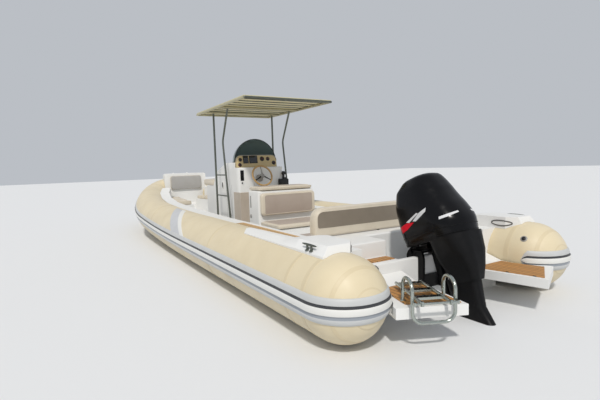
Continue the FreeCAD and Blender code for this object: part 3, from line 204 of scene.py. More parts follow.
CREAM = rubber("tube_cream", (220, 206, 174))
SEAM = rubber("tube_seam", (213, 198, 165))
PATCH = rubber("tube_patch_grey", (196, 198, 202))
STRAKE_PALE = rubber("strake_pale", (196, 198, 198), 0.35)
STRAKE_DARK = rubber("strake_groove", (62, 64, 68), 0.3)
# grey-blue of the strake's lower hollow is painted shade on the pale rubber
STRAKE_SHADE = rubber("strake_hollow_painted_shade", (148, 154, 162), 0.3)
STRAKE_WHITE = rubber("strake_ridge", (226, 226, 222), 0.2)
WHITE = gelcoat("gelcoat_white", (232, 232, 230))
TEAK = planked("teak", (186, 134, 74))
TEAK_PALE = planked("teak_pale", (206, 168, 118))
BEIGE = vinyl("vinyl_beige", (172, 158, 146))
# grey of the bow pad is painted shade on a white face
PAD_SHADE_GREY = vinyl("vinyl_grey", (170, 168, 165))
PIPING = vinyl("vinyl_cream", (210, 200, 182))
BROWN = vinyl("vinyl_grey_brown", (128, 118, 104))
KNEE_BEIGE = vinyl("knee_panel_beige", (186, 174, 160))
STEEL = metal("steel_polished", (205, 207, 208), 0.16)
# steel darkened with painted shade and painted dark reflections, for the canopy posts, frame and cleats
SHADED_STEEL = metal("steel_painted_shade", (112, 116, 108), 0.38)
GUARD_STEEL = metal("steel_satin", (178, 184, 178), 0.22)
SMOKE = plastic("smoked_screen", (122, 140, 138), 0.14, "smoked_acrylic", coat=0.4)
DASH = plastic("dash_tan", (196, 176, 132), 0.4, "dash_plastic")
BLACK = plastic("black_plastic", (18, 18, 19), 0.35)
GLOSS = plastic("engine_black", (9, 9, 12), 0.2, "engine_cover_plastic", grain=80, shine=0.22)
SATIN = plastic("engine_satin", (11, 11, 13), 0.45, "engine_paint", grain=500, shine=0.2)
SILVER = plastic("stripe_silver", (214, 215, 217), 0.55, shine=0.2)
RED = plastic("stripe_red", (210, 12, 38), 0.5, shine=0.2)
RIM_WOOD = plastic("rim_wood", (182, 146, 92), 0.3, "wheel_wood", coat=0.4)
TAN = plastic("canopy_tan", (214, 206, 166), 0.6, "canopy_plastic")
CANOPY_JOINT = plastic("canopy_joint", (62, 68, 58), 0.5, "canopy_plastic")
CANOPY_EDGE = plastic("canopy_edge", (178, 172, 142), 0.45)
GREY = plastic("grey_plastic", (150, 148, 144), 0.4)
SCREEN = plastic("screen_glass", (12, 18, 24), 0.08, coat=0.6, grain=40)
PALE = plastic("pale_plastic", (222, 222, 218), 0.35)
# grey used as painted shade in the console's creases and in the leaning post's hand slot
SHADE_GREY = plastic("painted_shade_grey", (150, 150, 148), 0.6)
SEAM_DARK = plastic("seam_dark", (88, 86, 84), 0.5)


def around(count):
    """Angles once round in equal steps."""
    return [2 * pi * k / count for k in range(count)]


def arc(first, last, count):
    """Angles in radians from one to another in degrees, with both ends."""
    return [radians(first + (last - first) * k / count) for k in range(count + 1)]


def circle(centre, one, other, radius, angles):
    """Points round a centre in the plane of two directions."""
    return [centre + (one * cos(a) + other * sin(a)) * radius for a in angles]


def add(name, data):
    """Object that shows some data in the scene."""
    obj = bpy.data.objects.new(name, data)
    SCENE.collection.objects.link(obj)
    return obj


def dress(obj, body, nodes=()):
    """Let a piece ride on a body and stand for CAD nodes."""
    bpy.context.view_layer.update()
    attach(obj, body)
    if nodes:
        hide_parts(*nodes)
    return obj


def build(name, points, faces, materials, body="boat", nodes=(), slot=None, smooth=True, indices=()):
    """Mesh piece from points and faces."""
    mesh = bpy.data.meshes.new(name)
    mesh.from_pydata([tuple(p) for p in points], [], faces)
    for material in materials if isinstance(materials, (list, tuple)) else [materials]:
        mesh.materials.append(material)
    for polygon, index in zip(mesh.polygons, indices):
        polygon.material_index = index
    clean = bmesh.new()
    clean.from_mesh(mesh)
    bmesh.ops.remove_doubles(clean, verts=clean.verts, dist=0.00002)
    bmesh.ops.recalc_face_normals(clean, faces=clean.faces)
    clean.to_mesh(mesh)
    clean.free()
    mesh.update()
    obj = add(name, mesh)
    if smooth:
        shade(obj)
    return dress(obj, body, nodes)


def loft(name, rings, materials, closed=True, caps=(False, False), loop=False, bands=(), **rest):
    """Skin through rings of equal count; bands give the material of each strip across a ring."""
    count = len(rings[0])
    pairs = [(n, n + 1) for n in range(len(rings) - 1)]
    if loop:
        pairs.append((len(rings) - 1, 0))
    faces = [(a * count + k, a * count + (k + 1) % count, b * count + (k + 1) % count, b * count + k)
            for a, b in pairs for k in range(count if closed else count - 1)]
    if caps[0]:
        faces.append(tuple(reversed(range(count))))
    if caps[1]:
        faces.append(tuple((len(rings) - 1) * count + k for k in range(count)))
    points = [point for ring in rings for point in ring]
    return build(name, points, faces, materials, indices=bands * len(pairs), **rest)


def shade(obj, degrees=40):
    """Smooth shading that keeps edges sharper than the angle."""
    obj.data.shade_smooth()
    edit = bmesh.new()
    edit.from_mesh(obj.data)
    for edge in edit.edges:
        if len(edge.link_faces) == 2 and edge.calc_face_angle(0) > radians(degrees):
            edge.smooth = False
    edit.to_mesh(obj.data)
    edit.free()


def bake(obj):
    """Write the evaluated mesh back to the object."""
    bpy.context.view_layer.update()
    seen = obj.evaluated_get(bpy.context.evaluated_depsgraph_get())
    mesh = bpy.data.meshes.new_from_object(seen)
    obj.modifiers.clear()
    obj.data = mesh


def soften(node, width, material, thin=0):
    """Copy of a CAD node with rounded edges, in its place; thin draws its faces inward."""
    mesh = NODES[node].data.copy()
    edit = bmesh.new()
    edit.from_mesh(mesh)
    bmesh.ops.remove_doubles(edit, verts=edit.verts, dist=0.00003)
    bmesh.ops.dissolve_limit(edit, angle_limit=radians(0.6), verts=edit.verts, edges=edit.edges)
    if thin:
        edit.normal_update()
        inward = [vert.normal * thin for vert in edit.verts]
        for vert, move in zip(edit.verts, inward):
            vert.co -= move
    for face in edit.faces:
        face.material_index = 0
    edit.to_mesh(mesh)
    edit.free()
    mesh.materials.clear()
    mesh.materials.append(material)
    mesh.shade_smooth()
    obj = add("dressed_" + node, mesh)
    if width:
        bevel = obj.modifiers.new("edges", "BEVEL")
        bevel.width = width
        bevel.segments = 2
        bevel.limit_method = "ANGLE"
        bevel.angle_limit = radians(28)
        bake(obj)
    shade(obj, 36)
    normals = obj.modifiers.new("normals", "WEIGHTED_NORMAL")
    normals.keep_sharp = True
    bake(obj)
    return dress(obj, BODY_OF[node], [node])


def box_mesh(name, low, high, round_off=0, turn=None):
    """Mesh of a block between two corners, rounded, and turned by a matrix if one is given."""
    edit = bmesh.new()
    bmesh.ops.create_cube(edit, size=1)
    for vert in edit.verts:
        vert.co = Vector(a + (b - a) * (c + 0.5) for a, b, c in zip(low, high, vert.co))
    if round_off:
        bmesh.ops.bevel(edit, geom=list(edit.edges), offset=round_off, segments=3, profile=0.5,
                affect="EDGES", clamp_overlap=True)
    if turn:
        edit.transform(turn)
    mesh = bpy.data.meshes.new(name)
    edit.to_mesh(mesh)
    edit.free()
    return mesh


def block(name, low, high, round_off, material, turn=None, nodes=()):
    """Block with rounded edges on the boat."""
    mesh = box_mesh(name, low, high, round_off, turn)
    mesh.materials.append(material)
    obj = add(name, mesh)
    shade(obj)
    return dress(obj, "boat", nodes)


def cut_away(obj, low, high):
    """Take the space between two corners out of a dressed piece."""
    space = add("space", box_mesh("space", low, high))
    cut = obj.modifiers.new("cut", "BOOLEAN")
    cut.operation = "DIFFERENCE"
    cut.solver = "EXACT"
    cut.object = space
    bake(obj)
    bpy.data.objects.remove(space)
    shade(obj, 36)


def pipe(name, route, radius, material, closed=False, sides=8, **rest):
    """Round bar along a route of points."""
    route = [Vector(p) for p in route]
    count = len(route)
    rings = []
    normal = None
    for n, point in enumerate(route):
        before = route[(n - 1) % count] if closed or n else point
        after = route[(n + 1) % count] if closed or n < count - 1 else point
        ahead = (after - before).normalized()
        if normal is None:
            normal = ahead.orthogonal().normalized()
        normal = (normal - ahead * normal.dot(ahead)).normalized()
        rings.append(circle(point, normal, ahead.cross(normal), radius, around(sides)))
    return loft(name, rings, material, caps=(not closed, not closed), loop=closed, **rest)


def lathe(name, profile, centre, axis, material, sides=32, **rest):
    """Turned piece: profile is (radius, height) pairs along an axis from the centre."""
    axis = Vector(axis)
    turn = UP.rotation_difference(axis)
    rings = [circle(Vector(centre) + turn @ (UP * height), turn @ AHEAD, turn @ PORT, radius, around(sides))
            for radius, height in profile]
    return loft(name, rings, material, caps=(profile[0][0] > 0.0001, profile[-1][0] > 0.0001), **rest)


def rounded_corner(before, corner, after, bend, steps=6):
    """Points of a curve that cuts a corner."""
    before = before - corner
    after = after - corner
    size = min(bend, before.length * 0.48, after.length * 0.48)
    start, end = corner + before.normalized() * size, corner + after.normalized() * size
    shares = [k / steps for k in range(steps + 1)]
    return [start * (1 - t) ** 2 + corner * 2 * t * (1 - t) + end * t ** 2 for t in shares]


def rounded(corners, bends, steps=6):
    """Outline through corners, each with its own rounding."""
    corners = [Vector(corner) for corner in corners]
    out = []
    for n, bend in enumerate(bends):
        out += rounded_corner(corners[n - 1], corners[n], corners[(n + 1) % len(corners)], bend, steps)
    return [tuple(point) for point in out]


def rounded_rect(a0, a1, b0, b1, bend, steps=6, low_bend=None, grow=0):
    """Outline of a rectangle with rounded corners, as pairs; those at a0 may have their own bend."""
    low = low_bend or bend
    out = []
    for n, (a, b, size) in enumerate(((a1 - bend, b1 - bend, bend), (a0 + low, b1 - low, low),
            (a0 + low, b0 + low, low), (a1 - bend, b0 + bend, bend))):
        size += grow
        out += [(a + size * cos(turn), b + size * sin(turn)) for turn in arc(90 * n, 90 * n + 90, steps)]
    return out


# The buoyancy tube: centre line, height and radius aft, and the place where chambers meet.
TUBE_SIDE = 1.16
TUBE_END = 0.54
TUBE_BEND = 6.3
TUBE_BOW = 9.3
TUBE_HEIGHT = 0.34
TUBE_RADIUS = 0.32
SPLIT = 1 + 50 / 90
FACETS = 56
# height of the edge of a tape or patch, which ends under the skin below it
SUNK = -0.0006
CHAMBERS = (("port", 0, SPLIT), ("bow", SPLIT, 4 - SPLIT), ("starboard", 4 - SPLIT, 4))


def tube_point(x, y):
    """Centre and radius of the tube over a point of its plan."""
    share = max(0, min(1, (x - 3.6) / 5.7))
    return Vector((x, y, TUBE_HEIGHT + 0.445 * share ** 2.5)), TUBE_RADIUS - 0.015 * share


def tube_route(first, last):
    """Plan points between two places: 0 to 1 up the port side, 1 to 3 round the bow, 3 to 4 back."""
    out = []
    steps = max(2, round((last - first) * 40))
    for n in range(steps + 1):
        place = first + (last - first) * n / steps
        side = 1 if place <= 2 else -1
        along = place if place <= 2 else 4 - place
        if along <= 1:
            out.append((TUBE_END + (TUBE_BEND - TUBE_END) * along, side * TUBE_SIDE))
        else:
            turn = radians(90 * (along - 1))
            x = TUBE_BEND + (TUBE_BOW - TUBE_BEND) * sin(turn) ** 1.1
            out.append((x, side * TUBE_SIDE * max(0, cos(turn)) ** 1.1))
    return out


def tube_frames(first, last):
    """Centre, radius, outboard and up at stations of the tube."""
    route = [tube_point(*place) for place in tube_route(first, last)]
    out = []
    for n, (centre, radius) in enumerate(route):
        ahead = (route[min(n + 1, len(route) - 1)][0] - route[max(n - 1, 0)][0]).normalized()
        if abs(first) < 1e-6 and n == 0 or abs(last - 4) < 1e-6 and n == len(route) - 1:
            ahead = AHEAD if n == 0 else -AHEAD
        if abs(centre.y) < 1e-6:
            ahead = -PORT
        side = UP.cross(ahead).normalized()
        out.append((centre, radius, side, ahead.cross(side)))
    return out


def seam_band(name, place, width):
    """Glued tape round the tube at a place along it."""
    length = 5.76 if place <= 1 or place >= 3 else 3.4
    rings = []
    for share, lift in ((-1, SUNK), (-0.94, 0.0018), (0.94, 0.0018), (1, SUNK)):
        at = place + share * width / 2 / length
        centre, radius, side, up = tube_frames(at, at + 0.02)[0]
        rings.append(circle(centre, side, up, radius + lift, around(64)))
    loft(name, rings, SEAM)


def tube_patch(name, sign, aft, fore, grow, material):
    """Slanted patch on the tube's side; aft and fore give x at its low and its high edge."""
    steps = 16
    rows = []
    for k, angle in enumerate(arc(14, 95, steps)):
        start = aft[0] + (aft[1] - aft[0]) * k / steps
        end = fore[0] + (fore[1] - fore[0]) * k / steps
        row = []
        for m in range(steps + 1):
            centre, radius = tube_point(start + (end - start) * m / steps, sign * TUBE_SIDE)
            lift = SUNK if k in (0, steps) or m in (0, steps) else grow
            row += circle(centre, PORT * sign, UP, radius + lift, [angle])
        rows.append(row)
    loft(name, rows, material, closed=False)


def make_tubes():
    """Air chambers with their ends, valves, seams and patches."""
    for side, first, last in CHAMBERS:
        rings = [circle(centre, out, up, radius, around(FACETS))
                for centre, radius, out, up in tube_frames(first, last)]
        loft(side + "_chamber", rings, CREAM, caps=ENDS, nodes=[side + "_tube"])
    for sign, side in SIDES:
        centre = Vector((TUBE_END, sign * TUBE_SIDE, TUBE_HEIGHT))
        rings = [circle(centre - AHEAD * TUBE_RADIUS * sin(polar), PORT, UP, TUBE_RADIUS * cos(polar),
                around(FACETS)) for polar in arc(0, 90, 16)]
        loft(side + "_tube_end", rings, CREAM, nodes=[side + "_end_cap"])
        for n, depth in enumerate((0.19, 0.3)):
            rings = []
            for off, lift in ((-0.014, SUNK), (-0.012, 0.0016), (0.012, 0.0016), (0.014, SUNK)):
                aft = depth + off
                radius = sqrt(TUBE_RADIUS ** 2 - aft ** 2) + lift
                rings.append(circle(centre - AHEAD * aft, PORT, UP, radius, around(FACETS)))
            loft(f"{side}_tube_end_seam_{n}", rings, SEAM)
        out = Vector((-0.23, -0.76 * sign, 0.6)).normalized()
        valve = centre + out * (TUBE_RADIUS - 0.001)
        lathe(side + "_valve_ring", ((0, 0.004), (0.028, 0.004), (0.031, 0.002), (0.031, -0.006)), valve,
                out, GREY)
        lathe(side + "_valve_cap", ((0, 0.0125), (0.016, 0.012), (0.0185, 0.0105), (0.0195, 0.004),
                (0.024, 0.003)), valve, out, BLACK)
        tube_patch(side + "_wear_patch", sign, (3.5, 4.51), (4.15, 5.02), 0.0022, PATCH)
        tube_patch(side + "_wear_patch_tape", sign, (3.5, 4.51), (3.68, 4.71), 0.0036, STRAKE_WHITE)
    for n, place in enumerate((0.012, 0.055, 0.36, 0.86, SPLIT, 4 - SPLIT, 3.14, 3.64, 3.945, 3.988)):
        seam_band(f"tube_seam_{n}", place, 0.045 if n in (0, 9) else 0.035)


# share outboard, share of the height, colour from here to the next: pale, dark, grey (painted shade in the
# hollow under the ridge) or white
STRAKE = (
    (0, 1, 0), (0.25, 0.97, 0), (0.46, 0.9, 0), (0.52, 0.8, 0), (0.52, 0.58, 0), (0.46, 0.5, 1),
    (0.2, 0.47, 1), (0.2, 0.36, 1), (0.82, 0.3, 3), (0.96, 0.22, 3), (1, 0.12, 3), (1, -0.1, 3),
    (0.94, -0.2, 3), (0.55, -0.26, 2), (0.45, -0.44, 2), (0.6, -0.52, 0), (0.66, -0.6, 0),
    (0.6, -0.78, 0), (0.35, -0.93, 0), (0, -1, 0),
)
STRAKE_DEPTH = 0.02
STRAKE_HALF = 0.092


def strake_ring(centre, radius, side, up):
    """Outline of the rub strake at a station."""
    out = []
    for off, high, _ in STRAKE:
        height = high * STRAKE_HALF
        skin_at = sqrt((radius + 0.0004) ** 2 - height ** 2)
        out.append(centre + side * (skin_at + off * STRAKE_DEPTH) + up * height)
    return out


def make_strakes():
    """Rub strakes with a dark groove, wrapped round the tube ends."""
    for name, first, last in CHAMBERS:
        rings = [strake_ring(*station) for station in tube_frames(first, last)]
        if name != "bow":
            port = name == "port"
            centre, radius, side, up = tube_frames(0, 0.1)[0] if port else tube_frames(3.9, 4)[-1]
            outline = strake_ring(centre, radius, side, up)
            middle = centre + side * radius
            turned = []
            for n in range(1, 34):
                spin = Matrix.Rotation(radians((5 if port else -5) * n), 3, "Z")
                shrink = 1 if n < 32 else 0.7 if n == 32 else 0.05
                turned.append([centre + spin @ (middle + (p - middle) * shrink - centre) for p in outline])
            rings = turned[::-1] + rings if port else rings + turned
        loft(name + "_strake", rings, [STRAKE_PALE, STRAKE_DARK, STRAKE_SHADE, STRAKE_WHITE], closed=False,
                bands=[row[2] for row in STRAKE[:-1]], nodes=[name + "_rub_strake"], slot="strake_rubber")


# material, slot if not the material's own, rounding of edges; _ begins a node of both sides
DRESSED = (
    (WHITE, None, {"hull": 0.006, "cockpit_liner": 0.012, "stern_moulding": 0.018, "_swim_platform": 0.008,
        "_quarter_moulding": 0.01, "leaning_post": 0.03, "console": 0.03, "console_door": 0.006,
        "bow_locker": 0.03, "bow_locker_lid": 0.005}),
    (TEAK, None, {"_platform_teak": 0.002}),
    (TEAK_PALE, None, {"_coaming_teak": 0.002}),
    (GREY, None, {"steering_column": 0.004}),
    (BLACK, None, {"engine_control_lever": 0.008}),
    (SHADED_STEEL, None, {"canopy_frame": 0}),
    (GUARD_STEEL, None, {"ladder_guard": 0, "boarding_ladder": 0}),
    (SATIN, None, {"clamp_bracket": 0.006, "swivel_bracket": 0.006, "engine_midsection": 0.008,
        "gearcase": 0.004}),
    (STEEL, "propeller_steel", {"propeller": 0.0015}),
)
SHELF = 1.2873
POD_FORE = 4.395


def dress_solids():
    """Rounded copies of the solids; the console is cut for its pod, the rails have two colours."""
    done = {}
    for material, slot, widths in DRESSED:
        for name, width in widths.items():
            for node in [side + name for _, side in SIDES] if name[0] == "_" else [name]:
                done[node] = soften(node, width, material)
    for _, side in SIDES:
        soften(side + "_canopy_posts", 0, SHADED_STEEL, thin=0.006)
    rails = done["canopy_frame"].data
    rails.materials.append(CANOPY_EDGE)
    for polygon in rails.polygons:
        polygon.material_index = 1 if polygon.center.x > 3.24 else 0
    cut_away(done["console"], (4.15, -0.5, SHELF), (POD_FORE, 0.5, 1.6))
    block("console_shelf", (4.216, -0.366, SHELF - 0.0193), (POD_FORE + 0.001, 0.366, SHELF - 0.0001), 0.004,
            WHITE)
    NODES["engine_block"].data.materials.clear()
    NODES["engine_block"].data.materials.append(GREY)


def lay(axis, a, b, depth):
    """Point of an outline laid on a plane: axis z takes (x, y), axis x takes (y, z)."""
    return Vector((a, b, depth) if axis == "z" else (depth, a, b))


def flat(axis, point):
    """Place of a point on an outline's plane, and its depth."""
    x, y, z = point
    return (x, y, z) if axis == "z" else (y, z, x)


def edge_distance(outline, a, b):
    """Distance from a point to an outline."""
    best = 9
    for (a0, b0), (a1, b1) in zip(outline, outline[1:] + outline[:1]):
        da, db = a1 - a0, b1 - b0
        size = da * da + db * db
        t = 0 if size < 1e-12 else max(0, min(1, ((a - a0) * da + (b - b0) * db) / size))
        best = min(best, hypot(a - a0 - t * da, b - b0 - t * db))
    return best


def inside(outline, a, b):
    """Whether a point lies inside an outline."""
    found = False
    for (a0, b0), (a1, b1) in zip(outline, outline[1:] + outline[:1]):
        if (b0 > b) != (b1 > b) and a < (a1 - a0) * (b - b0) / (b1 - b0) + a0:
            found = not found
    return found


def spread(route, gap):
    """Closed route with no two points closer than a gap, so that it turns evenly."""
    out = [route[0]]
    for point in route[1:]:
        if (point - out[-1]).length > 0.004:
            out.append(point)
    finer = []
    for a, b in zip(out, out[1:] + out[:1]):
        parts = max(1, int((b - a).length / gap))
        finer += [a.lerp(b, k / parts) for k in range(parts)]
    return finer


SOFT = []
BULGE = 0.016
CLOTH = {"quality": 5, "mass": 0.3, "tension_stiffness": 12, "compression_stiffness": 12,
         "shear_stiffness": 6, "bending_stiffness": 1, "use_pressure": True,
         "uniform_pressure_force": 4, "vertex_group_mass": "welt"}
FRAMES = 20


def cushion(name, node, outline, axis, low, high, seams=(), panels=(), edge=BEIGE, face=BEIGE):
    """Padded piece: an outline pushed from low to high, blown up between its welts and its seams.

    A seam is a direction of that plane (0 or 1) and a place; a panel is an outline and a side.
    """
    middle = Vector((sum(p[0] for p in outline), sum(p[1] for p in outline))) / len(outline)
    rings = []
    for depth, inset in ((low, 0.018), (low + 0.006, 0.008), (low + 0.02, 0.004), (high - 0.02, 0.004),
            (high - 0.006, 0.008), (high, 0.018)):
        ring = [Vector(pair) - (Vector(pair) - middle).normalized() * inset for pair in outline]
        rings.append([lay(axis, point.x, point.y, depth) for point in ring])
    obj = loft(name, rings, edge, caps=ENDS, smooth=False, nodes=[node])
    remesh = obj.modifiers.new("even", "REMESH")
    remesh.mode = "VOXEL"
    remesh.voxel_size = 0.02
    bake(obj)
    pins = []
    for vertex in obj.data.vertices:
        *place, depth = flat(axis, vertex.co)
        under = min(depth - low, high - depth)
        welt = edge_distance(outline, *place) < 0.026 and under < 0.026
        if welt or under < 0.008 and any(abs(place[way] - at) < 0.014 for way, at in seams):
            pins.append(vertex.index)
    obj.vertex_groups.new(name="welt").add(pins, 1, "REPLACE")
    SOFT.append((obj, axis, outline, low, high, panels, edge, face,
            [v.co.copy() for v in obj.data.vertices]))


def blow_up():
    """Run the cloth of every cushion at once, limit how far it bulges, and write it to the meshes."""
    SCENE.frame_start, SCENE.frame_end = 1, FRAMES
    for obj, *_ in SOFT:
        cloth = obj.modifiers.new("cloth", "CLOTH")
        for setting, value in CLOTH.items():
            setattr(cloth.settings, setting, value)
        cloth.settings.effector_weights.gravity = 0
        cloth.point_cache.frame_end = FRAMES
    for number in range(1, FRAMES + 1):
        SCENE.frame_set(number)
    for obj, *_, rests in SOFT:
        bake(obj)
        for vertex, rest in zip(obj.data.vertices, rests):
            move = vertex.co - rest
            if move.length > BULGE:
                vertex.co = rest + move.normalized() * BULGE
    SCENE.frame_set(1)
    for obj, *shape, _ in SOFT:
        finer = obj.modifiers.new("finer", "SUBSURF")
        finer.levels = finer.render_levels = 1
        bake(obj)
        obj.data.shade_smooth()
        finish_cushion(obj, *shape)


def finish_cushion(obj, axis, outline, low, high, panels, edge, face):
    """Covering, panels and piping of a cushion."""
    tree = BVHTree.FromObject(obj, bpy.context.evaluated_depsgraph_get())
    obj.data.materials.clear()
    obj.data.materials.append(edge)
    if panels:
        obj.data.materials.append(face)
    welts = [[tree.find_nearest(lay(axis, a, b, depth))[0] for a, b in outline] for depth in (low + 0.004,
            high - 0.004)]
    for shape, side in panels:
        for polygon in obj.data.polygons:
            a, b, depth = flat(axis, polygon.center)
            if (depth - (low + high) / 2) * side > 0 and inside(shape, a, b):
                polygon.material_index = 1
        start = high + 0.05 if side > 0 else low - 0.05
        welts.append([tree.ray_cast(lay(axis, a, b, start), lay(axis, 0, 0, -side))[0] for a, b in shape])
    for number, welt in enumerate(welts):
        route = [point for point in welt if point is not None]
        if len(route) > 8:
            pipe(f"{obj.name}_piping_{number}", spread(route, 0.03), 0.0042, PIPING, closed=True,
                    slot="backrest_vinyl")


def seat(name, node, bend, lowered, seams, margins=None):
    """Flat cushion over its node; its panel has margins aft, ahead and beside, and round corners."""
    low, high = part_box(node)
    panels = []
    if margins:
        aft, fore, side, corner = margins
        panels.append((rounded_rect(low.x + aft, high.x - fore, low.y + side, high.y - side, corner), 1))
    cushion(name, node, rounded_rect(low.x, high.x, low.y, high.y, bend), "z", low.z, high.z - lowered,
            [(1, y) for y in seams], panels, PIPING if margins else BEIGE)


def make_cushions():
    """Seats, backrests and pads."""
    seat("stern_seat", "stern_seat_cushion", 0.05, 0, (-0.25, 0.25))
    seat("leaning_seat", "leaning_post_cushion", 0.06, 0.034, (0,), (0.05, 0.05, 0.05, 0.04))
    low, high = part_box("leaning_post_back_pad")
    cushion("leaning_back", "leaning_post_back_pad", rounded_rect(-0.44, 0.44, low.z, high.z, 0.05), "x",
            low.x, high.x, panels=[(rounded_rect(-0.385, 0.385, low.z + 0.02, high.z - 0.03, 0.03), -1)],
            edge=PIPING)
    seat("aft_facing_seat", "aft_facing_seat_cushion", 0.05, 0.036, (0,), (0.05, 0.04, 0.045, 0.04))
    seat("front_seat", "front_seat_cushion", 0.09, 0, (0,), (0.05, 0.05, 0.05, 0.06))
    low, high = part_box("bow_backrest")
    # the bow pad's grey is painted shade standing for the shade on a white face
    cushion("bow_pad", "bow_backrest", rounded_rect(low.y, high.y, low.z, high.z, 0.05), "x", low.x, high.x,
            edge=PAD_SHADE_GREY)
    low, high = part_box("stern_backrest")
    foot = 0.603
    outline, panel = (rounded([(-half, base), (half, base), (half, top), (-half, top)], [small, small, large,
            large]) for half, base, top, small, large in ((0.8, foot, high.z, 0.05, 0.16),
            (0.765, foot + 0.085, high.z - 0.035, 0.03, 0.13)))
    cushion("stern_back", "stern_backrest", outline, "x", low.x, high.x, panels=[(panel, -1), (panel, 1)],
            edge=PIPING, face=BROWN)
    for n, y in enumerate((-0.735, 0, 0.735)):
        block(f"backrest_post_{n}", (low.x + 0.012, y - 0.015, 0.565), (high.x - 0.07, y + 0.015, 0.66),
                0.004, SATIN)
    for sign, side in SIDES:
        node = side + "_bow_cushion"
        low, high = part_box(node)
        points = [(v.co.x, abs(v.co.y)) for v in NODES[node].data.vertices]
        stations = sorted({round(x, 3) for x, _ in points})
        rows = [(x, [y for at, y in points if abs(at - x) < 0.002]) for x in stations]
        shape = [(x, sign * min(ys)) for x, ys in rows] + [(x, sign * max(ys)) for x, ys in reversed(rows)]
        cushion(side + "_bow_seat", node, rounded(shape, [0.05] * len(shape)), "z", low.z, high.z,
                seams=((0, 7.5),), edge=PIPING)


TILT_PIN = Vector((0.88, 0, 0.48))
TILT = radians(20)
# height, aft end, front end, half width, aft corner radius, front corner radius
COWL = (
    (0.0602, -0.588, 0.026, 0.216, 0.198, 0.118), (0.1, -0.591, 0.032, 0.226, 0.205, 0.128),
    (0.18, -0.591, 0.041, 0.235, 0.21, 0.14), (0.3, -0.543, 0.04, 0.233, 0.206, 0.138),
    (0.4, -0.489, 0.037, 0.227, 0.2, 0.132), (0.48, -0.453, 0.017, 0.213, 0.186, 0.126),
    (0.54, -0.424, -0.001, 0.199, 0.172, 0.122), (0.58, -0.403, -0.044, 0.177, 0.15, 0.114),
    (0.61, -0.384, -0.076, 0.157, 0.13, 0.106), (0.628, -0.364, -0.118, 0.13, 0.11, 0.094),
    (0.6345, -0.34, -0.15, 0.1, 0.085, 0.075),
)
# part, lower edge, upper edge, material
ENGINE_STRIPES = (
    ("thin_sweep", ((-0.168, 0.234, 0.241), (-0.291, 0.232, 0.291)),
     ((-0.133, 0.233, 0.252), (-0.275, 0.232, 0.302)), SILVER),
    ("wide_sweep", ((-0.246, 0.234, 0.234), (-0.319, 0.233, 0.263), (-0.374, 0.229, 0.288)),
     ((-0.209, 0.234, 0.244), (-0.3, 0.232, 0.294), (-0.383, 0.223, 0.317)), SILVER),
    ("wedge", ((-0.048, 0.225, 0.168), (-0.126, 0.236, 0.187), (-0.217, 0.234, 0.228)),
     ((-0.03, 0.215, 0.222), (-0.137, 0.234, 0.244), (-0.219, 0.234, 0.232)), RED),
    ("bar", ((-0.473, 0.213, 0.19), (-0.53, 0.166, 0.197), (-0.57, 0.075, 0.216)),
     ((-0.473, 0.207, 0.212), (-0.524, 0.162, 0.219), (-0.563, 0.075, 0.23)), SILVER),
)


def engine(x, y, z):
    """Row frame point of the engine's own frame: x ahead of the tilt pin, z up, before the tilt."""
    return TILT_PIN + Vector((x * cos(TILT) + z * sin(TILT), y, z * cos(TILT) - x * sin(TILT)))


def cowl_ring(height, aft, fore, half, aft_size, fore_size, grow=0):
    """Rounded outline of the engine cover at a height."""
    return [engine(x, y, height) for x, y in rounded_rect(aft, fore, -half, half, fore_size, 8, aft_size,
            grow)]


def between(table, value):
    """Row of a table at a height between its rows, along smooth curves."""
    for n in range(len(table) - 1):
        if table[n][0] <= value <= table[n + 1][0]:
            t = (value - table[n][0]) / (table[n + 1][0] - table[n][0])
            rows = [table[max(n - 1, 0)], table[n], table[n + 1], table[min(n + 2, len(table) - 1)]]
            out = [value]
            for p0, p1, p2, p3 in zip(*(row[1:] for row in rows)):
                out.append(0.5 * (2 * p1 + (p2 - p0) * t + (2 * p0 - 5 * p1 + 4 * p2 - p3) * t * t
                        + (3 * p1 - p0 - 3 * p2 + p3) * t ** 3))
            return out
    return list(table[-1])


def make_engine_cover():
    """Glossy cover with its belt line and stripes."""
    foot, top = COWL[0][0], COWL[-1][0]
    rings = [cowl_ring(foot, -0.57, 0.01, 0.198, 0.18, 0.1)]
    rings += [cowl_ring(*between(COWL, foot + (top - foot) * n / 40)) for n in range(41)]
    cover = loft("engine_cowl", rings, GLOSS, caps=ENDS, body="engine", nodes=["engine_cover"])
    for name, height, width in (("belt", 0.118, 0.007), ("latch_line", 0.066, 0.005)):
        rows = [cowl_ring(*between(COWL, height + width * k / 2), grow=grow) for k, grow in ((-1, 0),
                (-0.7, 0.0022), (0.7, 0.0022), (1, 0))]
        loft("engine_" + name, rows, SATIN, body="engine")
    tree = BVHTree.FromObject(cover, bpy.context.evaluated_depsgraph_get())
    for sign, side in SIDES:
        for part, low_edge, high_edge, material in ENGINE_STRIPES:
            stripe(f"{side}_{part}", tree, sign, low_edge, high_edge, material)


def stripe(name, tree, sign, low, high, material, steps=8):
    """Thin painted shape on the cover between two edges, near it in the engine's frame."""
    rows = []
    for a, b, c, d in zip(low, low[1:], high, high[1:]):
        for k in range(steps + 1):
            start = Vector(a).lerp(Vector(b), k / steps)
            end = Vector(c).lerp(Vector(d), k / steps)
            row = []
            for m in range(7):
                x, y, z = start.lerp(end, m / 6)
                place = engine(x, sign * y, z)
                inward = (engine(-0.28, 0, z) - place).normalized()
                row.append(tree.ray_cast(place - inward * 0.1, inward)[0] - inward * 0.0016)
            rows.append(row)
    loft(name, rows, material, closed=False, body="engine", slot="engine_cover_plastic")


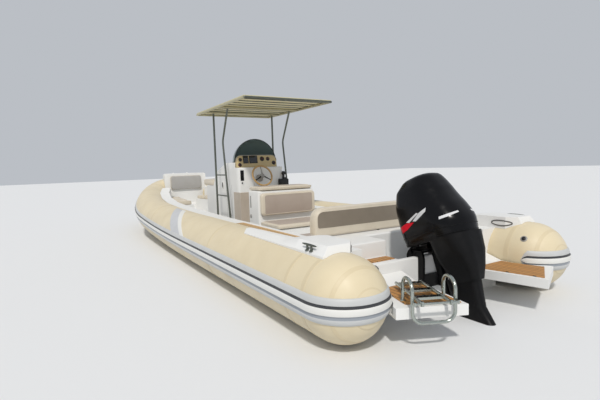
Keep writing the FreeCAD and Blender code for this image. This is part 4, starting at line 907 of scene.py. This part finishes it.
def make_canopy():
    """Crowned slats over webs, with dark battens under their joints."""
    slats, half = 10, 0.68
    low, high = 3.217, 5.183
    pitch = (high - low) / slats
    for n in range(slats):
        start, end = low + n * pitch + 0.007, low + (n + 1) * pitch - 0.007
        rings = []
        for k in range(13):
            y = -half + 2 * half * k / 12
            lift = 0.0016 * (1 - (y / half) ** 2)
            side, top = 2.2155 + lift, 2.2175 + lift
            rings.append([(start, y, 2.2075), (start, y, side), (start + 0.004, y, top),
                    (end - 0.004, y, top), (end, y, side), (end, y, 2.2075)])
        loft(f"canopy_slat_{n}", rings, TAN, caps=ENDS, nodes=["canopy_slats"])
    for n in range(1, slats):
        joint = low + n * pitch
        block(f"canopy_joint_{n}", (joint - 0.018, -0.65, 2.201), (joint + 0.018, 0.65, 2.212), 0.001,
                CANOPY_JOINT)
    for n, y in enumerate((-0.428, 0, 0.428)):
        block(f"canopy_web_{n}", (low, y - 0.03, 2.2073), (high, y + 0.03, 2.2125), 0.0015, TAN)


def make_windscreen():
    """Smoked dome with a rim along its edges."""
    centre = Vector((4.4, 0, 1.3703))
    outer, inner = ([circle(centre + UP * radius * sin(lift), AHEAD, PORT, radius * cos(lift),
            arc(-90, 90, 40)) for lift in arc(0, 90, 24)] for radius in (0.368, 0.362))
    loft("windscreen_dome", outer + inner[::-1], SMOKE, closed=False, loop=True, nodes=["windscreen"])
    pipe("windscreen_edge", circle(centre, PORT, UP, 0.365, arc(0, 180, 36)), 0.005, BLACK)
    pipe("windscreen_foot", circle(centre + UP * 0.006, AHEAD, PORT, 0.366, arc(-90, 90, 36)), 0.006, BLACK)


def make_wheel():
    """Wood-rimmed wheel with three flat spokes and a hub."""
    rake = radians(22)
    hub = Vector((4.05, 0.06, 1.155))
    axis = Vector((-cos(rake), 0, sin(rake)))
    up = Vector((sin(rake), 0, cos(rake)))
    across = axis.cross(up)
    pipe("wheel_rim", circle(hub, up, across, 0.16, around(60)), 0.014, RIM_WOOD, True, 14, body="wheel",
            nodes=["steering_wheel"])
    lathe("wheel_hub", ((0, 0.017), (0.02, 0.016), (0.031, 0.0125), (0.036, 0.004), (0.038, -0.012),
            (0.034, -0.0215)), hub, axis, GREY, body="wheel")
    spoke = ((0.025, 0.013, 0.004, 0.006), (0.07, 0.01, 0.004, 0.002), (0.12, 0.008, 0.0035, 0),
            (0.155, 0.012, 0.004, 0))
    for n, turn in enumerate(around(3)):
        way = up * cos(turn) + across * sin(turn)
        other = axis.cross(way)
        rows = [circle(hub + way * out + axis * lift, other * wide, axis * thick, 1, around(12))
                for out, wide, thick, lift in spoke]
        loft(f"wheel_spoke_{n}", rows, SATIN if n else GREY, caps=ENDS, body="wheel", slot="black_plastic")


POD_FOOT = Vector((4.335, 0, SHELF))
POD_UP = (Vector((4.375, 0, 1.48)) - POD_FOOT).normalized()
POD_OUT = Vector((-POD_UP.z, 0, POD_UP.x))
# y, height along the pod's face, radius
GAUGES = ((0.283, 0.126, 0.027), (0.298, 0.042, 0.029), (-0.096, 0.134, 0.036), (-0.2, 0.132, 0.03),
          (-0.3, 0.066, 0.032))


def on_pod(y, high, lift=0):
    """Point on the dash pod's face: y, height along the face, and how far it stands off."""
    return POD_FOOT + POD_UP * high + PORT * y + POD_OUT * lift


def dial_mark(centre, radius, degrees, corners, lift):
    """Corners of a flat mark on a dial, each a share of the radius and a half width."""
    turn = radians(degrees)
    way = POD_UP * cos(turn) + POD_UP.cross(POD_OUT) * sin(turn)
    over = POD_OUT.cross(way)
    return [centre + way * radius * share + over * half + POD_OUT * lift for share, half in corners]


def make_gauge(n, y, high, radius):
    """Bezel, face, ticks and pointer of a gauge."""
    centre = on_pod(y, high)
    lathe(f"gauge_{n}_bezel", ((radius - 0.0035, 0.0006), (radius - 0.003, 0.003), (radius, 0.0035),
            (radius + 0.0025, 0.002), (radius + 0.003, -0.008)), centre, POD_OUT, BLACK)
    lathe(f"gauge_{n}_face", ((0, 0.0012), (radius - 0.004, 0.001), (radius - 0.0032, 0.0004)), centre,
            POD_OUT, BLACK)
    tick = ((0.72, 0.0005), (0.72, -0.0005), (0.84, -0.0005), (0.84, 0.0005))
    ticks = [point for k in range(11) for point in dial_mark(centre, radius, -130 + 26 * k, tick, 0.0016)]
    build(f"gauge_{n}_ticks", ticks, [tuple(range(k, k + 4)) for k in range(0, 44, 4)], SILVER,
            slot="dash_plastic", smooth=False)
    hand = ((-0.15, 0.0011), (-0.15, -0.0011), (0.66, -0.0004), (0.66, 0.0004))
    build(f"gauge_{n}_pointer", dial_mark(centre, radius, -70 + 37 * n, hand, 0.0022), [(0, 1, 2, 3)], RED,
            slot="dash_plastic", smooth=False)


def make_dash():
    """Arched pod with gauges and double display, and the switches and key below it."""
    half, top = 0.353, 0.195
    shape = rounded([(-half, 0), (half, 0), (half, top), (-half, top)], [0.012, 0.012, 0.13, 0.13], 10)
    rings = [[Vector((POD_FORE - 0.001, y, on_pod(y, high).z)) for y, high in shape],
            [on_pod(y, high, -0.006) for y, high in shape]]
    inset = 0.006
    rings.append([on_pod(y - copysign(min(inset, abs(y)), y), high + (inset if high < top / 2 else -inset))
            for y, high in shape])
    loft("dash_pod_shell", rings, DASH, caps=ENDS, nodes=["dash_pod"])
    arch = sorted((on_pod(y, high, -0.002) for y, high in shape if high > 0.02), key=lambda point: point.y)
    pipe("dash_pod_trim", arch, 0.006, GREY, slot="stainless")
    for n, gauge in enumerate(GAUGES):
        make_gauge(n, *gauge)
    face = Matrix((-PORT, POD_UP, POD_OUT)).transposed().to_4x4()
    for n, (first, last) in enumerate(((0.236, 0.147), (0.131, -0.012))):
        turn = Matrix.Translation(on_pod((first + last) / 2, 0.126)) @ face
        wide = (first - last) / 2
        block(f"display_{n}", (-wide, -0.061, -0.006), (wide, 0.061, 0.008), 0.004, BLACK, turn=turn,
                nodes=["helm_display"])
        block(f"display_glass_{n}", (-wide + 0.008, -0.052, 0.007), (wide - 0.008, 0.052, 0.0092), 0.001,
                SCREEN, turn=turn)
    block("switch_strip", (4.1955, 0.302, 1.085), (4.2035, 0.36, 1.245), 0.003, BLACK)
    for k in range(6):
        z = 1.098 + 0.0235 * k
        block(f"switch_{k}", (4.19, 0.311, z), (4.197, 0.351, z + 0.015), 0.002, SATIN)
    lathe("key_switch", ((0, 0.008), (0.01, 0.007), (0.013, 0.004), (0.0135, 0)), (4.2, 0.332, 1.05), -AHEAD,
            BLACK)
    block("key", (4.172, 0.3305, 1.04), (4.193, 0.3335, 1.06), 0.001, STEEL)


CONSOLE_AFT = 4.2
CONSOLE_HALF = 0.37


def make_knee_panel():
    """Ribbed beige panel round the console's lower aft corners."""
    bend, fore = 0.008, 4.47
    corner = [(CONSOLE_AFT + bend - bend * sin(a), CONSOLE_HALF - bend + bend * cos(a)) for a in arc(0, 90,
            3)]
    corners = [(fore, CONSOLE_HALF)] + corner
    corners = [Vector(p) for p in corners + [(x, -y) for x, y in reversed(corners)]]
    route = []
    for a, b in zip(corners, corners[1:]):
        parts = max(1, round((b - a).length / 0.005))
        route += [a.lerp(b, k / parts) for k in range(parts)]
    route.append(corners[-1])
    last = len(route) - 1
    rings = []
    for n, point in enumerate(route):
        ahead = (route[min(n + 1, last)] - route[max(n - 1, 0)]).normalized()
        out = Vector((ahead.y, -ahead.x))
        rib = -0.001 if n in (0, last) else 0.0035 + 0.0014 * cos(2 * pi * n / 6)
        rings.append([Vector((*(point + out * off), z)) for off, z in ((-0.001, 0.235), (rib, 0.238),
                (rib, 0.9), (-0.001, 0.904))])
    loft("console_knee_panel", rings, KNEE_BEIGE, closed=False)


def make_cleat(side):
    """Horn cleat: a slim bar on two posts."""
    low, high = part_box(side + "_cleat")
    middle = (low + high) / 2
    half = (high.x - low.x) / 2
    fore = [(0.009, 0.3), (0.0075, 0.7), (0.0045, 0.99), (0, 1)]
    bar = [(radius, half * share) for radius, share in [(r, -s) for r, s in fore[::-1]] + fore]
    post = ((0.02, -0.001), (0.019, 0.003), (0.01, 0.008), (0.0085, 0.044))
    lathe(side + "_cleat_bar", bar, (middle.x, middle.y, high.z - 0.012), AHEAD, SHADED_STEEL, 14,
            nodes=[side + "_cleat"])
    for n, x in enumerate((middle.x - 0.028, middle.x + 0.028)):
        lathe(f"{side}_cleat_post_{n}", post, (x, middle.y, low.z), UP, SHADED_STEEL, 14,
                nodes=[side + "_cleat"])


def make_oval_pull(sign, side):
    """Long oval pull on the inboard face of a quarter moulding."""
    mesh = NODES[side + "_quarter_moulding"].data
    tree = BVHTree.FromPolygons([v.co for v in mesh.vertices], [tuple(p.vertices) for p in mesh.polygons])
    starts = [Vector((0.742 + 0.1 * cos(a), 0, 0.652 + 0.026 * sin(a))) for a in around(36)]
    route = [tree.ray_cast(start, PORT * sign)[0] for start in starts]
    pipe(side + "_quarter_oval", route, 0.006, SEAM_DARK, closed=True)


def make_console_vent(sign, side):
    """Oval vent on the console's side."""
    for part, wide, tall, off, material in (("ring", 0.045, 0.066, 0, PALE), ("inner", 0.027, 0.05, 0.001,
            BLACK)):
        rings = []
        for inset, out in ((0, -0.002), (0, 0.004), (0.004, 0.007), (0.012, 0.0075)):
            centre = Vector((4.939, sign * (CONSOLE_HALF + out + off), 1.004))
            rings.append(circle(centre, AHEAD * (wide - inset), UP * (tall - inset), 1, around(28)))
        loft(f"{side}_console_vent_{part}", rings, material, caps=ENDS)


def make_details():
    """Small fittings that the boat carries."""
    for sign, side in SIDES:
        make_cleat(side)
        make_oval_pull(sign, side)
        make_console_vent(sign, side)
        block(side + "_ledge_teak", (0.868, sign * 0.55 - 0.2, 0.4502), (0.985, sign * 0.55 + 0.2, 0.4575),
                0.002, TEAK)
    make_knee_panel()
    lathe("helm_vent", ((0, 0.006), (0.024, 0.005), (0.028, 0)), (3.66, 0.45, 0.593), PORT, GREY)
    # grey block on the leaning post's side is painted shade standing for its recessed hand slot
    block("post_slot_shade", (3.64, 0.447, 0.715), (3.672, 0.4535, 0.885), 0.003, SHADE_GREY)
    block("control_box", (4.13, -0.452, 0.968), (4.199, -0.29, 1.088), 0.014, BLACK)
    block("control_arm", (4.15, -0.392, 1.08), (4.172, -0.366, 1.165), 0.008, BLACK)
    block("control_grip", (4.14, -0.418, 1.155), (4.182, -0.34, 1.2), 0.016, BLACK)
    lathe("anchor_light", ((0.02, 0), (0.022, 0.012), (0.016, 0.016), (0.015, 0.045), (0.01, 0.056),
            (0, 0.058)), (5.1, 0, 2.219), UP, PALE, slot="gelcoat")
    bends = [engine(x, y, z) for x, y, z in ((-0.1, 0.13, 0.045), (0, 0.14, 0.03), (0.07, 0.13, -0.02),
            (0.105, 0.08, -0.07), (0.1, 0.02, -0.1))]
    hose = [bends[0]]
    for before, corner, after in zip(bends, bends[1:], bends[2:]):
        hose += rounded_corner(before, corner, after, 0.05)
    pipe("engine_hose", hose + [bends[-1]], 0.013, SATIN, sides=12, body="swivel")
    # thin grey lines on the console's side are painted shade of its vertical creases
    for n, x in enumerate((4.55, 4.78)):
        pipe(f"console_side_line_{n}", [(x, CONSOLE_HALF + 0.0005, z) for z in (0.26, 1.02)], 0.0016,
                SHADE_GREY, sides=6, slot="gelcoat")


def make_stage():
    """Floor at the waterline, backdrop and soft daylight."""
    size = 60
    floor = bpy.data.meshes.new("floor")
    floor.from_pydata([(-size, -size, 0), (size, -size, 0), (size, size, 0), (-size, size, 0)], [],
            [(0, 1, 2, 3)])
    floor.materials.append(Look("stage_floor", (226, 227, 228), 0.75).material)
    add("floor", floor)
    world = SCENE.world = SCENE.world or bpy.data.worlds.new("world")
    world.use_nodes = True
    back = world.node_tree.nodes["Background"]
    back.inputs["Color"].default_value = (0.8, 0.84, 0.9, 1)
    back.inputs["Strength"].default_value = 0.62
    sun = bpy.data.lights.new("sun", "SUN")
    sun.energy = 2.2
    sun.angle = radians(4)
    sun.color = (1, 0.96, 0.9)
    lamp = add("sun", sun)
    lamp.rotation_euler = Vector((0.55, -0.35, -0.76)).to_track_quat("-Z", "Y").to_euler()


def make_camera():
    """Camera of the photograph."""
    yaw, pitch, roll = -0.539, -0.082, -0.032
    ahead = Vector((cos(yaw) * cos(pitch), sin(yaw) * cos(pitch), sin(pitch)))
    level = Vector((sin(yaw), -cos(yaw), 0))
    upright = level.cross(ahead)
    right = level * cos(roll) + upright * sin(roll)
    up = upright * cos(roll) - level * sin(roll)
    data = bpy.data.cameras.new("camera")
    data.lens = 25.37
    data.sensor_width = 36
    data.sensor_fit = "HORIZONTAL"
    turned = Matrix((right, up, -ahead)).transposed().to_4x4()
    turned.translation = Vector((-1.848, 2.925, 1.295))
    camera = add("camera", data)
    camera.matrix_world = turned
    SCENE.camera = camera


make_tubes()
make_strakes()
dress_solids()
make_cushions()
blow_up()
make_engine_cover()
make_canopy()
make_windscreen()
make_wheel()
make_dash()
make_details()
make_stage()
make_camera()
SCENE.view_settings.view_transform = "Standard"
